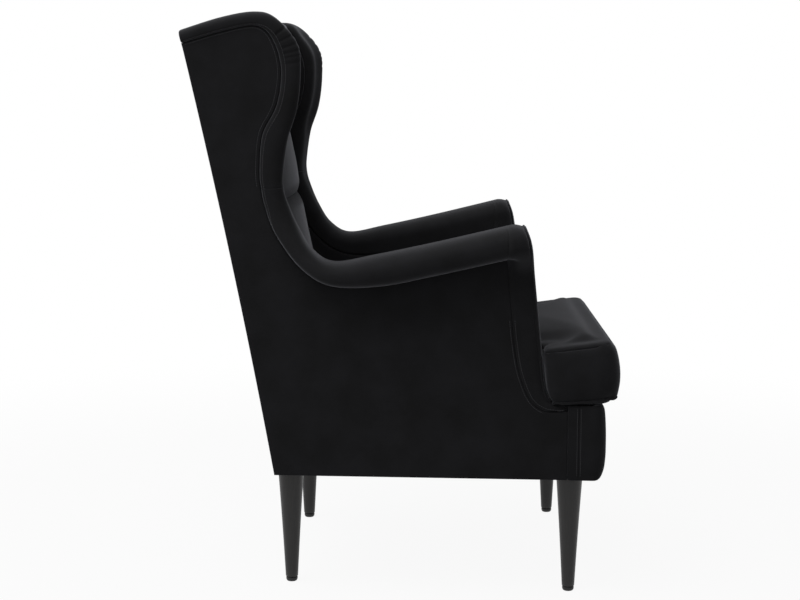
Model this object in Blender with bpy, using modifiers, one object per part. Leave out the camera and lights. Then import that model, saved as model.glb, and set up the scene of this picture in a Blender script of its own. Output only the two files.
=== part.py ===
"""Winged armchair in velvet: timber frame, sprung seat, padded wings, rolled arms and a loose T cushion.

Units are metres. The chair stands on Z = 0 and faces -Y. X = 0 is its middle plane, and +X is the
sitter's left. Heights in the body's outlines are measured from its underside, at the top of the legs.
"""
from math import cos
from math import pi
from math import sin
from math import sqrt

import bmesh
import bpy
from mathutils import Vector

GAP = 0.0003                    # between pieces that touch

# Body: plan and back
REAR_HALF_WIDTH = 0.290         # at the foot of the back
SIDE_TAPER = 0.0577             # the sides open towards the front, per metre of depth
SIDE_LEAN = 0.020               # the sides lean out, per metre of height
REAR_FOOT_Y = 0.228             # outside of the back at the underside
BACK_RAKE = 0.2033              # the back leans to the rear, per metre of height
BACK_BOW = 0.0055               # the back's outside curves in by this at half height
FRONT_FACE_Y = -0.3619          # fullest point of the padded front border

# Coverings and timber
SHELL_THICKNESS = 0.005         # outer panels: lining board and velvet
TIMBER = 0.022                  # thickness of rails and posts
POST_DEPTH = 0.045              # rear and front posts, seen from the side
WING_BOARD_THICKNESS = 0.012
SIDE_THICKNESS = 0.062          # whole padded side, from the outer panel to the inner face
RAIL_LIFT = 0.004               # rails start this far above the underside
SEAT_RAIL_TOP = 0.107
BLOCK_HEIGHT = 0.040            # corner blocks
BLOCK_LENGTH = 0.080
ARM_RAIL_DEPTH = 0.025
POST_BELOW_BORDER = 0.0075      # the posts and the top rail end this far below the border behind
POST_FOOT = 0.140               # below this the front post's edge runs straight down
TOP_RAIL_DEPTH = 0.058
LUMBAR_RAIL = (0.130, 0.185)    # lowest and highest point

# Padded border of wing and arm: (seam y, seam height, crest y, crest height), from the back's top corner
# round the wing and down to the waist, then along the arm to its front
BORDER = [
    (0.3792, 0.7649, 0.3857, 0.7756),
    (0.3133, 0.7835, 0.3160, 0.8060),
    (0.2600, 0.7937, 0.2560, 0.8165),
    (0.2330, 0.7830, 0.2180, 0.8060),
    (0.2150, 0.7500, 0.1810, 0.7600),
    (0.2089, 0.7085, 0.1760, 0.7080),
    (0.2181, 0.6554, 0.1855, 0.6470),
    (0.2428, 0.6054, 0.2030, 0.5930),
    (0.2487, 0.5449, 0.2090, 0.5400),
    (0.2465, 0.5130, 0.2082, 0.5130),
    (0.2400, 0.4800, 0.2025, 0.4880),
    (0.2219, 0.4316, 0.1860, 0.4450),
    (0.1787, 0.3737, 0.1600, 0.4060),
    (0.1242, 0.3428, 0.1200, 0.3845),
    (0.0376, 0.3430, 0.0450, 0.3985),
    (-0.0557, 0.3615, -0.0600, 0.4205),
    (-0.1832, 0.3910, -0.1832, 0.4480),
]
WAIST = 9                       # station of the seam between wing border and arm
INNER_SPLIT = 11.5              # station where the inner wing meets the inner arm
ARM_START = 13                  # station of the arm's lowest point
STATION_STEPS = 2
WING_PROUD = 0.006              # the wing's border stands out of the outer panel
ARM_OVERHANG = 0.062            # the arm's roll stands out of the outer panel
WING_SHOULDER = 0.35            # share of the border's height where its sides begin to round
ARM_SHOULDER = 0.46
ROLL_FULLNESS = 0.78            # 1 is elliptical in section, less is fuller

# Arm front: seam to the outer panel, and the face seen from the side, as (y, height)
ARM_FRONT_SEAM = [(-0.1868, 0.3387), (-0.1924, 0.2862), (-0.1971, 0.2422), (-0.2045, 0.1981),
                  (-0.2171, 0.1592), (-0.2313, 0.1361), (-0.2524, 0.1237), (-0.2769, 0.1220)]
ARM_FRONT_FACE = [(-0.2096, 0.4475), (-0.2236, 0.4226), (-0.2302, 0.3806), (-0.2337, 0.3384),
                  (-0.2404, 0.2562), (-0.2501, 0.1672), (-0.2574, 0.1439), (-0.2681, 0.1314),
                  (-0.2700, 0.1225)]
ARM_FRONT_LEVELS = (0.3550, 0.3100, 0.2600, 0.2100, 0.1720, 0.1480, 0.1330, 0.1240)
ARM_FRONT_SQUARENESS = 0.6      # 1 is a half round in plan, less is squarer

# Front border
BORDER_SEAM_Y = -0.2925         # where it meets the outer panel
BORDER_PADDING = 0.0236
BORDER_TOP = 0.1316
BORDER_DROP = 0.003             # the border hangs this far below the underside
BORDER_CORNER = 0.026           # radius in plan
# The border's section: height, and how far it stands out there, where 1 is its fullest
BORDER_SECTION = [(0.000, 0.62), (0.015, 0.87), (0.037, 0.98), (0.060, 1.0),
                  (0.085, 0.985), (0.112, 0.92), (0.126, 0.82)]
BORDER_BOTTOM_FULL = 0.35
BORDER_TOP_FULL = 0.60

# Back pad: its front at X = 0, as (y, height), up to the border on top
BACK_PAD_FRONT = [(0.1180, 0.1114), (0.1300, 0.1450), (0.1510, 0.2465), (0.1790, 0.3746),
                  (0.1940, 0.4482), (0.2012, 0.4829), (0.2080, 0.5347), (0.2198, 0.5940),
                  (0.2405, 0.6865), (0.2510, 0.7450), (0.2560, 0.7837)]
BACK_PAD_CROWN = 0.018          # the pad's sides lie this far behind its middle
BACK_PAD_ROUNDING = 2.2         # 2 is an arc in plan, more is flatter in the middle
TUCK_HEIGHT = 0.4829            # sewn channel across the back
TUCK_DEPTH = 0.010
TUCK_REACH = 0.022              # from the channel's middle to where the pad is full again
TOP_BORDER_REAR = (0.3830, 0.7655)
TOP_BORDER_FACE = [(0.3857, 0.7756), (0.3500, 0.7935), (0.3160, 0.8060), (0.2850, 0.8135),
                   (0.2600, 0.8165), (0.2480, 0.8125), (0.2415, 0.8020), (0.2425, 0.7900)]
WEBBING_HEIGHTS = (0.235, 0.370, 0.510)
WEBBING_WIDTH = 0.060
WEBBING_THICKNESS = 0.002

# Seat: springs, deck and loose cushion
SPRING_PLACES = (-0.180, -0.060, 0.060, 0.180)
SPRING_WIRE_RADIUS = 0.0019
SPRING_HALF_WIDTH = 0.022
SPRING_WAVES = 9
SPRING_SEATING = 0.012          # of each end on its rail
DECK_THICKNESS = 0.0216
DECK_REAR_Y = 0.1175
DECK_EAR_REAR_Y = -0.280        # the deck widens in front of the arms
CUSHION_SIDE_GAP = 0.0035
CUSHION_EAR_HALF_WIDTH = 0.324
CUSHION_EAR_EDGE = 0.030        # the ear's side bulges over this width
CUSHION_FRONT_Y = -0.3760
CUSHION_EAR_REAR_Y = -0.2665    # at the bottom, close to the arm's front
CUSHION_EAR_SLANT = 0.0110      # the ear's rear leans back by this over the cushion's height
CUSHION_REAR_Y = 0.1150
CUSHION_HEIGHT = 0.1120         # from the deck to the top seam
CUSHION_CROWN = 0.030
CUSHION_BULGE = 0.007
CUSHION_DRAW_IN = 0.006         # the front pulls in between the ears
CUSHION_REAR_FLAT = 0.004       # the zip's flat stretch lies this far inside the corners' line
CUSHION_SEAM_CREASE = 0.7       # how sharp the level edges stay, from 0 to 1
CUSHION_CORNER_CREASE = 0.4     # and the upright ones
COVER_THICKNESS = 0.002
CORE_CLEARANCE = 0.0012         # core to cover
ZIP_HALF_LENGTH = 0.180
ZIP_HALF_HEIGHT = 0.0036
ZIP_THICKNESS = 0.0012
SLIDER_SIZE = (0.009, 0.0035, 0.010)
PULL_SIZE = (0.005, 0.0012, 0.022)

# Legs
LEG_HEIGHT = 0.2135             # floor to the body's underside
LEG_TOP_RADIUS = 0.023
LEG_FOOT_RADIUS = 0.0112
LEG_SPIGOT_RADIUS = 0.0170      # the leg's top steps in to pass between the panels
LEG_FROM_FRONT_RAIL = 0.0167    # centre of a front leg to the rail's rear face
FRONT_LEG_FROM_SIDE = 0.0394
LEG_FROM_BACK = 0.0241
REAR_LEG_FROM_SIDE = 0.0614
LEG_FOOT_ROUNDING = 0.002
GLIDE_HEIGHT = 0.008
GLIDE_RADIUS = 0.0105
GLIDE_FLAT_RADIUS = 0.0079      # of the face it stands on
GLIDE_EDGE = 0.0032             # height of its slanted edge
BOLT_RADIUS = 0.0039
BOLT_IN_LEG = 0.030
BOLT_ABOVE_BLOCK = 0.006
DUST_COVER_THICKNESS = 0.0015
DUST_COVER_NOTCH = 0.034        # from a leg's centre

PANEL_INSET = SHELL_THICKNESS + GAP
TIMBER_INSET = PANEL_INSET + TIMBER
INNER_INSET = TIMBER_INSET + GAP
SEAT_INSET = SIDE_THICKNESS + GAP
FRONT_RAIL_FACE_Y = FRONT_FACE_Y + BORDER_PADDING + GAP
FRONT_RAIL_BACK_Y = FRONT_RAIL_FACE_Y + TIMBER
SPRING_LEVEL = SEAT_RAIL_TOP + GAP + SPRING_WIRE_RADIUS
DECK_BOTTOM = SEAT_RAIL_TOP + 2 * GAP + 2 * SPRING_WIRE_RADIUS
DECK_TOP = DECK_BOTTOM + DECK_THICKNESS
POST_TOP = TOP_BORDER_REAR[1] - POST_BELOW_BORDER
SIDES = {"left": 1, "right": -1}


def clear_scene():
    """Remove what an earlier run or the startup file left."""
    for thing in list(bpy.data.objects):
        bpy.data.objects.remove(thing, do_unlink=True)


def new_collection(name):
    """An empty collection under the scene's own."""
    collection = bpy.data.collections.new(name)
    bpy.context.scene.collection.children.link(collection)
    return collection


def new_material(name, colour, roughness, metallic=0.0):
    """A Principled material with a linear colour."""
    material = bpy.data.materials.new(name)
    material.use_nodes = True
    shader = material.node_tree.nodes["Principled BSDF"]
    shader.inputs["Base Color"].default_value = (*colour, 1.0)
    shader.inputs["Roughness"].default_value = roughness
    shader.inputs["Metallic"].default_value = metallic
    return material


def half_width(y, height):
    """From the middle plane to the outer panel's outside."""
    return REAR_HALF_WIDTH + SIDE_TAPER * (REAR_FOOT_Y - y) + SIDE_LEAN * height


def back_height():
    """Height of the border's rear end, where the back's outside stops."""
    return BORDER[0][3]


def rear_y(height):
    """Outside of the back at a height."""
    share = height / back_height()
    return REAR_FOOT_Y + BACK_RAKE * height - 4 * BACK_BOW * share * (1 - share)


def post_front_y(height):
    """Front of the rear posts."""
    return rear_y(height) - PANEL_INSET - POST_DEPTH


def pad_rear_y(height):
    """Rear of what lies in front of the rear posts and their webbing."""
    return post_front_y(height) - WEBBING_THICKNESS - 2 * GAP


def place(side, inset, y, height):
    """A point of the body: inset is measured inwards from the outer panel's outside."""
    return Vector((side * (half_width(y, height) - inset), y, LEG_HEIGHT + height))


def smooth(points, steps):
    """A curve through the points, with the given number of steps from each to the next."""
    ends = [points[0], *points, points[-1]]
    curve = []
    for before, start, end, after in zip(ends, ends[1:], ends[2:], ends[3:]):
        for step in range(steps):
            t = step / steps
            curve.append(tuple(
                0.5 * (2 * b + (c - a) * t + (2 * a - 5 * b + 4 * c - d) * t ** 2
                       + (3 * b - a - 3 * c + d) * t ** 3)
                for a, b, c, d in zip(before, start, end, after)))
    curve.append(tuple(points[-1]))
    return curve


def value_at(path, key, value, wanted):
    """Read one coordinate of a path where its other coordinate has a given value."""
    ordered = sorted(path, key=lambda point: point[key])
    for low, high in zip(ordered, ordered[1:]):
        if low[key] <= wanted <= high[key]:
            share = (wanted - low[key]) / (high[key] - low[key])
            return low[value] + share * (high[value] - low[value])
    nearest = ordered[0] if wanted < ordered[0][key] else ordered[-1]
    return nearest[value]


def stations(first, last):
    """Border stations from one to another, with those in between."""
    curve = smooth(BORDER, STATION_STEPS)
    return curve[round(first * STATION_STEPS):round(last * STATION_STEPS) + 1]


def seam_line(first, last, drop=GAP):
    """The border's seam as (y, height), moved away from the border."""
    line = []
    for seam_y, seam_h, crest_y, crest_h in stations(first, last):
        length = sqrt((crest_y - seam_y) ** 2 + (crest_h - seam_h) ** 2)
        line.append((seam_y - drop * (crest_y - seam_y) / length,
                     seam_h - drop * (crest_h - seam_h) / length))
    return line


def arm_front_seam(lowest=0.0):
    """The seam at the arm's front as (y, height) at the levels of the padded front, from the top down."""
    curve = smooth([BORDER[-1][:2], *ARM_FRONT_SEAM], 3)
    return [(value_at(curve, 1, 0, level), level) for level in ARM_FRONT_LEVELS if level > lowest]


def add_object(name, mesh, material):
    """Put a finished mesh in the chair's collection."""
    mesh.materials.clear()
    mesh.materials.append(material)
    piece = bpy.data.objects.new(name, mesh)
    chair.objects.link(piece)
    return piece


def shade_round(mesh, angle=pi / 5):
    """Smooth shading that keeps the sharp edges."""
    mesh.shade_smooth()
    mesh.set_sharp_from_angle(angle=angle)


def extruded(outline):
    """A flat outline as a mesh one unit thick: outline in X and Y, faces at Z = -0.5 and 0.5."""
    curve = bpy.data.curves.new("outline", "CURVE")
    curve.dimensions = "2D"
    curve.fill_mode = "BOTH"
    curve.extrude = 0.5
    spline = curve.splines.new("POLY")
    spline.points.add(len(outline) - 1)
    for point, (across, up) in zip(spline.points, outline):
        point.co = (across, up, 0, 1)
    spline.use_cyclic_u = True
    holder = bpy.data.objects.new("outline", curve)
    chair.objects.link(holder)
    bpy.context.view_layer.update()
    mesh = bpy.data.meshes.new_from_object(holder.evaluated_get(bpy.context.evaluated_depsgraph_get()))
    bpy.data.objects.remove(holder, do_unlink=True)
    bpy.data.curves.remove(curve)
    weld(mesh)
    return mesh


def weld(mesh):
    """Join a mesh's loose caps to its walls."""
    shape = bmesh.new()
    shape.from_mesh(mesh)
    bmesh.ops.remove_doubles(shape, verts=shape.verts, dist=0.00001)
    shape.to_mesh(mesh)
    shape.free()


def face_outwards(mesh):
    """Turn every face out."""
    shape = bmesh.new()
    shape.from_mesh(mesh)
    bmesh.ops.recalc_face_normals(shape, faces=shape.faces)
    shape.to_mesh(mesh)
    shape.free()


def side_layer(name, outline, outer, inner, side, material):
    """A board or pad along the chair's side, between two insets, cut to an outline of (y, height)."""
    mesh = extruded(outline)
    for vertex in mesh.vertices:
        y, height, layer = vertex.co
        vertex.co = place(side, outer if layer > 0 else inner, y, height)
    face_outwards(mesh)
    return add_object(name, mesh, material)


def cross_piece(name, outline, inset, material):
    """A rail or panel from side to side, with a section of (y, height) and its ends at an inset."""
    mesh = extruded(outline)
    for vertex in mesh.vertices:
        y, height, end = vertex.co
        vertex.co = place(1 if end > 0 else -1, inset, y, height)
    face_outwards(mesh)
    return add_object(name, mesh, material)


def level_piece(name, half_outline, bottom, top, material):
    """A level sheet or block. Its outline is (inset, y) on the left side, and the right side mirrors it."""
    left = [(half_width(y, bottom) - inset, y) for inset, y in half_outline]
    right = [(-x, y) for x, y in reversed(left)]
    mesh = extruded(left + right)
    for vertex in mesh.vertices:
        vertex.co.z = LEG_HEIGHT + (top if vertex.co.z > 0 else bottom)
    face_outwards(mesh)
    return add_object(name, mesh, material)


def loft(name, rings, material):
    """A closed solid through rings of equal length, capped at both ends."""
    shape = bmesh.new()
    loops = [[shape.verts.new(point) for point in ring] for ring in rings]
    for lower, upper in zip(loops, loops[1:]):
        for index, vertex in enumerate(lower):
            after = (index + 1) % len(lower)
            shape.faces.new((vertex, lower[after], upper[after], upper[index]))
    for cap in (loops[0], loops[-1]):
        shape.faces.new(cap)
    bmesh.ops.triangulate(shape, faces=shape.faces)
    bmesh.ops.recalc_face_normals(shape, faces=shape.faces)
    mesh = bpy.data.meshes.new(name)
    shape.to_mesh(mesh)
    shape.free()
    shade_round(mesh)
    return add_object(name, mesh, material)


def turned(name, profile, x, y, material, steps=24):
    """A turned piece: its profile is (radius, z) from the top down its outer side to the axis."""
    mesh = bpy.data.meshes.new(name)
    points = [(radius, 0, z) for radius, z in profile]
    mesh.from_pydata(points, [(i, i + 1) for i in range(len(points) - 1)], [])
    piece = add_object(name, mesh, material)
    piece.location = (x, y, 0)
    screw = piece.modifiers.new("turn", "SCREW")
    screw.steps = steps
    screw.render_steps = steps
    screw.use_merge_vertices = True
    screw.merge_threshold = 0.00001
    screw.use_smooth_shade = False
    return piece


def box_mesh(name, low, high):
    """A box between two corners."""
    shape = bmesh.new()
    bmesh.ops.create_cube(shape, size=1)
    low = Vector(low)
    high = Vector(high)
    for vertex in shape.verts:
        vertex.co = [(a + b) / 2 + (b - a) * part for a, b, part in zip(low, high, vertex.co)]
    mesh = bpy.data.meshes.new(name)
    shape.to_mesh(mesh)
    shape.free()
    return mesh


def cut(piece, cutter):
    """Take a cutter's shape out of a piece."""
    boolean = piece.modifiers.new("cut", "BOOLEAN")
    boolean.operation = "DIFFERENCE"
    boolean.object = cutter


def new_cutter(name, mesh):
    """A guide that only cuts: it isn't a piece of the chair."""
    cutter = bpy.data.objects.new(name, mesh)
    cutter.hide_render = True
    cutter.display_type = "WIRE"
    cutters.objects.link(cutter)
    return cutter


def heights(low, high, count):
    """Evenly spaced heights from one to another."""
    return [low + (high - low) * step / (count - 1) for step in range(count)]


def band(front, back, low, high, count=9):
    """An outline between two lines that depend on height, such as a strip along the back."""
    levels = heights(low, high, count)
    return [(front(h), h) for h in levels] + [(back(h), h) for h in reversed(levels)]


def leg_place(front, side):
    """Centre of a leg on the floor."""
    if front:
        y = FRONT_RAIL_BACK_Y + LEG_FROM_FRONT_RAIL
        return side * (half_width(y, 0) - FRONT_LEG_FROM_SIDE), y
    y = REAR_FOOT_Y - LEG_FROM_BACK
    return side * (half_width(y, 0) - REAR_LEG_FROM_SIDE), y


def make_seat_frame():
    """Rails and corner blocks round the seat."""
    for word, side in SIDES.items():
        outline = [(FRONT_RAIL_BACK_Y + GAP, RAIL_LIFT), (post_front_y(RAIL_LIFT) - GAP, RAIL_LIFT),
                   (post_front_y(SEAT_RAIL_TOP) - GAP, SEAT_RAIL_TOP),
                   (FRONT_RAIL_BACK_Y + GAP, SEAT_RAIL_TOP)]
        side_layer(f"side_rail_{word}", outline, PANEL_INSET, TIMBER_INSET, side, beech)
    section = [(FRONT_RAIL_FACE_Y, RAIL_LIFT), (FRONT_RAIL_BACK_Y, RAIL_LIFT),
               (FRONT_RAIL_BACK_Y, SEAT_RAIL_TOP), (FRONT_RAIL_FACE_Y, SEAT_RAIL_TOP)]
    cross_piece("front_rail", section, PANEL_INSET, beech)
    rail_section = band(lambda h: rear_y(h) - PANEL_INSET - TIMBER, lambda h: rear_y(h) - PANEL_INSET,
                        RAIL_LIFT + BLOCK_HEIGHT + GAP, SEAT_RAIL_TOP, 3)
    cross_piece("rear_rail", rail_section, INNER_INSET, beech)
    for word, side in SIDES.items():
        make_corner_block(f"corner_block_front_{word}", True, side)
        make_corner_block(f"corner_block_rear_{word}", False, side)


def make_corner_block(name, front, side):
    """A block in the seat frame's corner, bored for the leg's bolt."""
    near_y = FRONT_RAIL_BACK_Y + GAP if front else rear_y(RAIL_LIFT) - PANEL_INSET - GAP - BLOCK_LENGTH
    outline = [(near_y, RAIL_LIFT), (near_y + BLOCK_LENGTH, RAIL_LIFT),
               (near_y + BLOCK_LENGTH, RAIL_LIFT + BLOCK_HEIGHT), (near_y, RAIL_LIFT + BLOCK_HEIGHT)]
    block = side_layer(name, outline, INNER_INSET, INNER_INSET + BLOCK_LENGTH, side, beech)
    x, y = leg_place(front, side)
    shape = bmesh.new()
    bmesh.ops.create_cone(shape, cap_ends=True, segments=12, radius1=BOLT_RADIUS + GAP,
                          radius2=BOLT_RADIUS + GAP, depth=3 * BLOCK_HEIGHT)
    bmesh.ops.translate(shape, verts=shape.verts, vec=(x, y, LEG_HEIGHT + RAIL_LIFT + BLOCK_HEIGHT / 2))
    mesh = bpy.data.meshes.new(name + "_bore")
    shape.to_mesh(mesh)
    shape.free()
    cut(block, new_cutter(name + "_bore", mesh))


def make_upper_frame():
    """Posts, arm rails, wing boards and the back's rails."""
    arm_top = seam_line(ARM_START, len(BORDER) - 1)
    arm_under = [(y, height - ARM_RAIL_DEPTH) for y, height in arm_top]
    arm_level = arm_top[0][1]
    for word, side in SIDES.items():
        post = band(post_front_y, lambda h: rear_y(h) - PANEL_INSET, RAIL_LIFT, POST_TOP)
        side_layer(f"rear_post_{word}", post, PANEL_INSET, TIMBER_INSET, side, beech)

        rear_end = [(post_front_y(arm_level) - GAP, arm_level),
                    (post_front_y(arm_level - ARM_RAIL_DEPTH) - GAP, arm_level - ARM_RAIL_DEPTH)]
        rail = arm_top + list(reversed(arm_under)) + list(reversed(rear_end))
        side_layer(f"arm_rail_{word}", rail, PANEL_INSET, TIMBER_INSET, side, beech)

        front_edge = [(y + GAP, height) for y, height in arm_front_seam(POST_FOOT)]
        foot_y, _ = front_edge[-1]
        rear_edge_y = front_edge[0][0] + POST_DEPTH
        front_top = value_at(arm_under, 0, 1, front_edge[0][0]) - GAP
        front_top_y = value_at([BORDER[-1][:2], *arm_front_seam()], 1, 0, front_top) + GAP
        post = [(rear_edge_y, value_at(arm_under, 0, 1, rear_edge_y) - GAP), (front_top_y, front_top)]
        post += front_edge + [(foot_y, SEAT_RAIL_TOP + GAP), (rear_edge_y, SEAT_RAIL_TOP + GAP)]
        side_layer(f"front_post_{word}", post, PANEL_INSET, TIMBER_INSET, side, beech)

        board = behind_seam(0, ARM_START, lambda h: post_front_y(h) - GAP, arm_level + GAP)
        inner = PANEL_INSET + WING_BOARD_THICKNESS
        side_layer(f"wing_board_{word}", board, PANEL_INSET, inner, side, plywood)
    top_rail = (POST_TOP - TOP_RAIL_DEPTH, POST_TOP)
    for name, (low, high) in (("top_rail", top_rail), ("lumbar_rail", LUMBAR_RAIL)):
        section = band(lambda h: rear_y(h) - PANEL_INSET - TIMBER, lambda h: rear_y(h) - PANEL_INSET,
                       low, high, 3)
        cross_piece(name, section, INNER_INSET, beech)


def behind_seam(first, last, rear, bottom):
    """Outline between the border's seam and a rear line, closed along a level at the bottom."""
    line = seam_line(first, last)
    beyond = [y - rear(h) for y, h in line]
    start = next(index for index, distance in enumerate(beyond) if distance < 0)
    share = beyond[start - 1] / (beyond[start - 1] - beyond[start])
    top = line[start - 1][1] + share * (line[start][1] - line[start - 1][1])
    seam = [point for point in line[start:] if point[1] > bottom]
    return [(rear(h), h) for h in heights(bottom, top, 6)] + seam + [(seam[-1][0], bottom)]


def make_springs_and_webbing():
    """Sinuous seat springs from rail to rail, and elastic straps across the back."""
    start_y = FRONT_RAIL_BACK_Y - SPRING_SEATING
    end_y = rear_y(SEAT_RAIL_TOP) - PANEL_INSET - TIMBER + SPRING_SEATING
    for number, middle in enumerate(SPRING_PLACES, 1):
        curve = bpy.data.curves.new("spring", "CURVE")
        curve.dimensions = "3D"
        curve.bevel_depth = SPRING_WIRE_RADIUS
        curve.bevel_resolution = 1
        curve.use_fill_caps = True
        spline = curve.splines.new("POLY")
        count = SPRING_WAVES * 4
        spline.points.add(count)
        for step, point in enumerate(spline.points):
            angle = 2 * pi * SPRING_WAVES * step / count
            x = middle + SPRING_HALF_WIDTH * (sin(angle) if step not in (0, count) else 0)
            point.co = (x, start_y + (end_y - start_y) * step / count, LEG_HEIGHT + SPRING_LEVEL, 1)
        add_object(f"seat_spring_{number}", mesh_of_curve(curve), spring_steel)
    for number, height in enumerate(WEBBING_HEIGHTS, 1):
        section = band(lambda h: post_front_y(h) - GAP - WEBBING_THICKNESS, lambda h: post_front_y(h) - GAP,
                       height, height + WEBBING_WIDTH, 3)
        inset = PANEL_INSET + WING_BOARD_THICKNESS + 2 * GAP
        cross_piece(f"back_webbing_{number}", section, inset, webbing)


def mesh_of_curve(curve):
    """A curve as a closed mesh."""
    holder = bpy.data.objects.new("wire", curve)
    chair.objects.link(holder)
    bpy.context.view_layer.update()
    mesh = bpy.data.meshes.new_from_object(holder.evaluated_get(bpy.context.evaluated_depsgraph_get()))
    bpy.data.objects.remove(holder, do_unlink=True)
    bpy.data.curves.remove(curve)
    weld(mesh)
    return mesh


def make_outer_panels():
    """Velvet over lining board on the sides and the back, and the dust cover underneath."""
    seam = seam_line(0, len(BORDER) - 1)
    front = [(y + GAP, height - GAP) for y, height in [*arm_front_seam(), ARM_FRONT_SEAM[-1]]]
    front_edge = BORDER_SEAM_Y + GAP
    rear = [(rear_y(h), h) for h in heights(0, seam[0][1], 9)]
    outline = rear + seam + front + [(front_edge, front[-1][1]), (front_edge, 0)]
    for word, side in SIDES.items():
        side_layer(f"outer_side_{word}", outline, 0, SHELL_THICKNESS, side, velvet)
    section = band(lambda h: rear_y(h) - SHELL_THICKNESS, rear_y, 0, TOP_BORDER_REAR[1] - 2 * GAP)
    cross_piece("outer_back", section, PANEL_INSET, velvet)
    make_dust_cover()


def make_dust_cover():
    """Lining cloth under the frame, notched round the legs."""
    front_x, front_y = leg_place(True, 1)
    rear_x, rear_leg_y = leg_place(False, 1)
    front_edge = FRONT_RAIL_FACE_Y + GAP
    rear_edge = rear_y(0) - PANEL_INSET
    front_inset = half_width(front_y, 0) - front_x + DUST_COVER_NOTCH
    rear_inset = half_width(rear_leg_y, 0) - rear_x + DUST_COVER_NOTCH
    half = [(front_inset, front_edge), (front_inset, front_y + DUST_COVER_NOTCH),
            (PANEL_INSET, front_y + DUST_COVER_NOTCH), (PANEL_INSET, rear_leg_y - DUST_COVER_NOTCH),
            (rear_inset, rear_leg_y - DUST_COVER_NOTCH), (rear_inset, rear_edge)]
    top = RAIL_LIFT - GAP
    level_piece("dust_cover", half, top - DUST_COVER_THICKNESS, top, lining)


def full(share, power=ROLL_FULLNESS):
    """Raise a sine or cosine so that a round section becomes fuller. Keeps its sign."""
    return abs(share) ** power * (1 if share > 0 else -1) if abs(share) > 1e-9 else 0


def border_ring(station, overhang, shoulder, side, arc=8, under=3):
    """Section of the padded border: inner side, round top and outer side down to the seam."""
    seam_y, seam_h, crest_y, crest_h = station
    middle = (SIDE_THICKNESS - overhang) / 2
    reach = (SIDE_THICKNESS + overhang) / 2
    section = [(SIDE_THICKNESS, 0)]
    for step in range(arc + 1):
        angle = pi * step / arc
        section.append((middle + reach * full(cos(angle)), shoulder + (1 - shoulder) * full(sin(angle))))
    for step in range(1, under + 1):
        angle = pi / 2 * step / under
        section.append((-overhang * full(cos(angle)), shoulder * (1 - full(sin(angle)))))
    return [place(side, inset, seam_y + rise * (crest_y - seam_y), seam_h + rise * (crest_h - seam_h))
            for inset, rise in section]


def ease(value, low, high):
    """0 below low, 1 above high, and a soft step between."""
    share = min(max((value - low) / (high - low), 0), 1)
    return share * share * (3 - 2 * share)


def make_borders():
    """The padded border of each wing, and the arm's roll that continues it."""
    for word, side in SIDES.items():
        wing = [border_ring(station, WING_PROUD, WING_SHOULDER, side) for station in stations(0, WAIST)]
        loft(f"wing_border_{word}", wing, velvet)

        arm = []
        for index, station in enumerate(stations(WAIST, len(BORDER) - 1)):
            grown = ease(WAIST + index / STATION_STEPS, WAIST + 1, ARM_START + 1)
            overhang = WING_PROUD + grown * (ARM_OVERHANG - WING_PROUD)
            shoulder = WING_SHOULDER + grown * (ARM_SHOULDER - WING_SHOULDER)
            if index == 0:
                seam_y, seam_h, crest_y, crest_h = station
                station = (seam_y, seam_h - GAP, crest_y, crest_h - GAP)
            arm.append(border_ring(station, overhang, shoulder, side))
        loft(f"arm_roll_{word}", arm, velvet)


def make_inner_pads():
    """Flat pads inside the wings and the arms."""
    front = [(y + GAP, height) for y, height in arm_front_seam(POST_FOOT)]
    for word, side in SIDES.items():
        wing_seam = seam_line(0, INNER_SPLIT)
        split = wing_seam[-1][1]
        wing = behind_seam(0, INNER_SPLIT, pad_rear_y, split - 2 * GAP)
        outer = PANEL_INSET + WING_BOARD_THICKNESS + GAP
        side_layer(f"wing_inner_pad_{word}", wing, outer, SIDE_THICKNESS, side, velvet)

        low = split - 3 * GAP
        seam = seam_line(INNER_SPLIT, len(BORDER) - 1)[1:]
        first = (value_at(seam_line(INNER_SPLIT, INNER_SPLIT + 1), 1, 0, low), low)
        rear = [(pad_rear_y(h), h) for h in heights(DECK_BOTTOM, low, 5)]
        foot = [(front[-1][0], DECK_BOTTOM)]
        arm = rear + [first] + seam + front + foot
        side_layer(f"arm_inner_pad_{word}", arm, INNER_INSET, SIDE_THICKNESS, side, velvet)


def roll_share(rise):
    """Share of the roll's half width at a share of its half height, as in its section."""
    return max(0, 1 - rise ** (2 / ROLL_FULLNESS)) ** (ROLL_FULLNESS / 2)


def arm_front_ring(height, side, arc=8):
    """Level section of the arm's front: flat at the rear, rounded at the front."""
    _, seam_h, _, crest_h = BORDER[-1]
    rear = value_at([BORDER[-1][:2], *arm_front_seam()], 1, 0, height) - GAP
    front = value_at(ARM_FRONT_FACE, 1, 0, height)
    rise = (height - seam_h) / (crest_h - seam_h)
    middle = (SIDE_THICKNESS - ARM_OVERHANG) / 2
    reach = (SIDE_THICKNESS + ARM_OVERHANG) / 2
    if rise <= 0:
        inner, outer = SIDE_THICKNESS, 0
    elif rise < ARM_SHOULDER:
        inner, outer = SIDE_THICKNESS, -ARM_OVERHANG * roll_share(1 - rise / ARM_SHOULDER)
    else:
        share = roll_share((rise - ARM_SHOULDER) / (1 - ARM_SHOULDER))
        inner, outer = middle + reach * share, middle - reach * share
    ring = []
    for step in range(arc + 1):
        angle = pi * step / arc
        across = full(cos(angle), ARM_FRONT_SQUARENESS)
        out = full(sin(angle), ARM_FRONT_SQUARENESS)
        inset = (inner + outer) / 2 + (inner - outer) / 2 * across
        ring.append(place(side, inset, rear + (front - rear) * out, height))
    return ring


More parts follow.
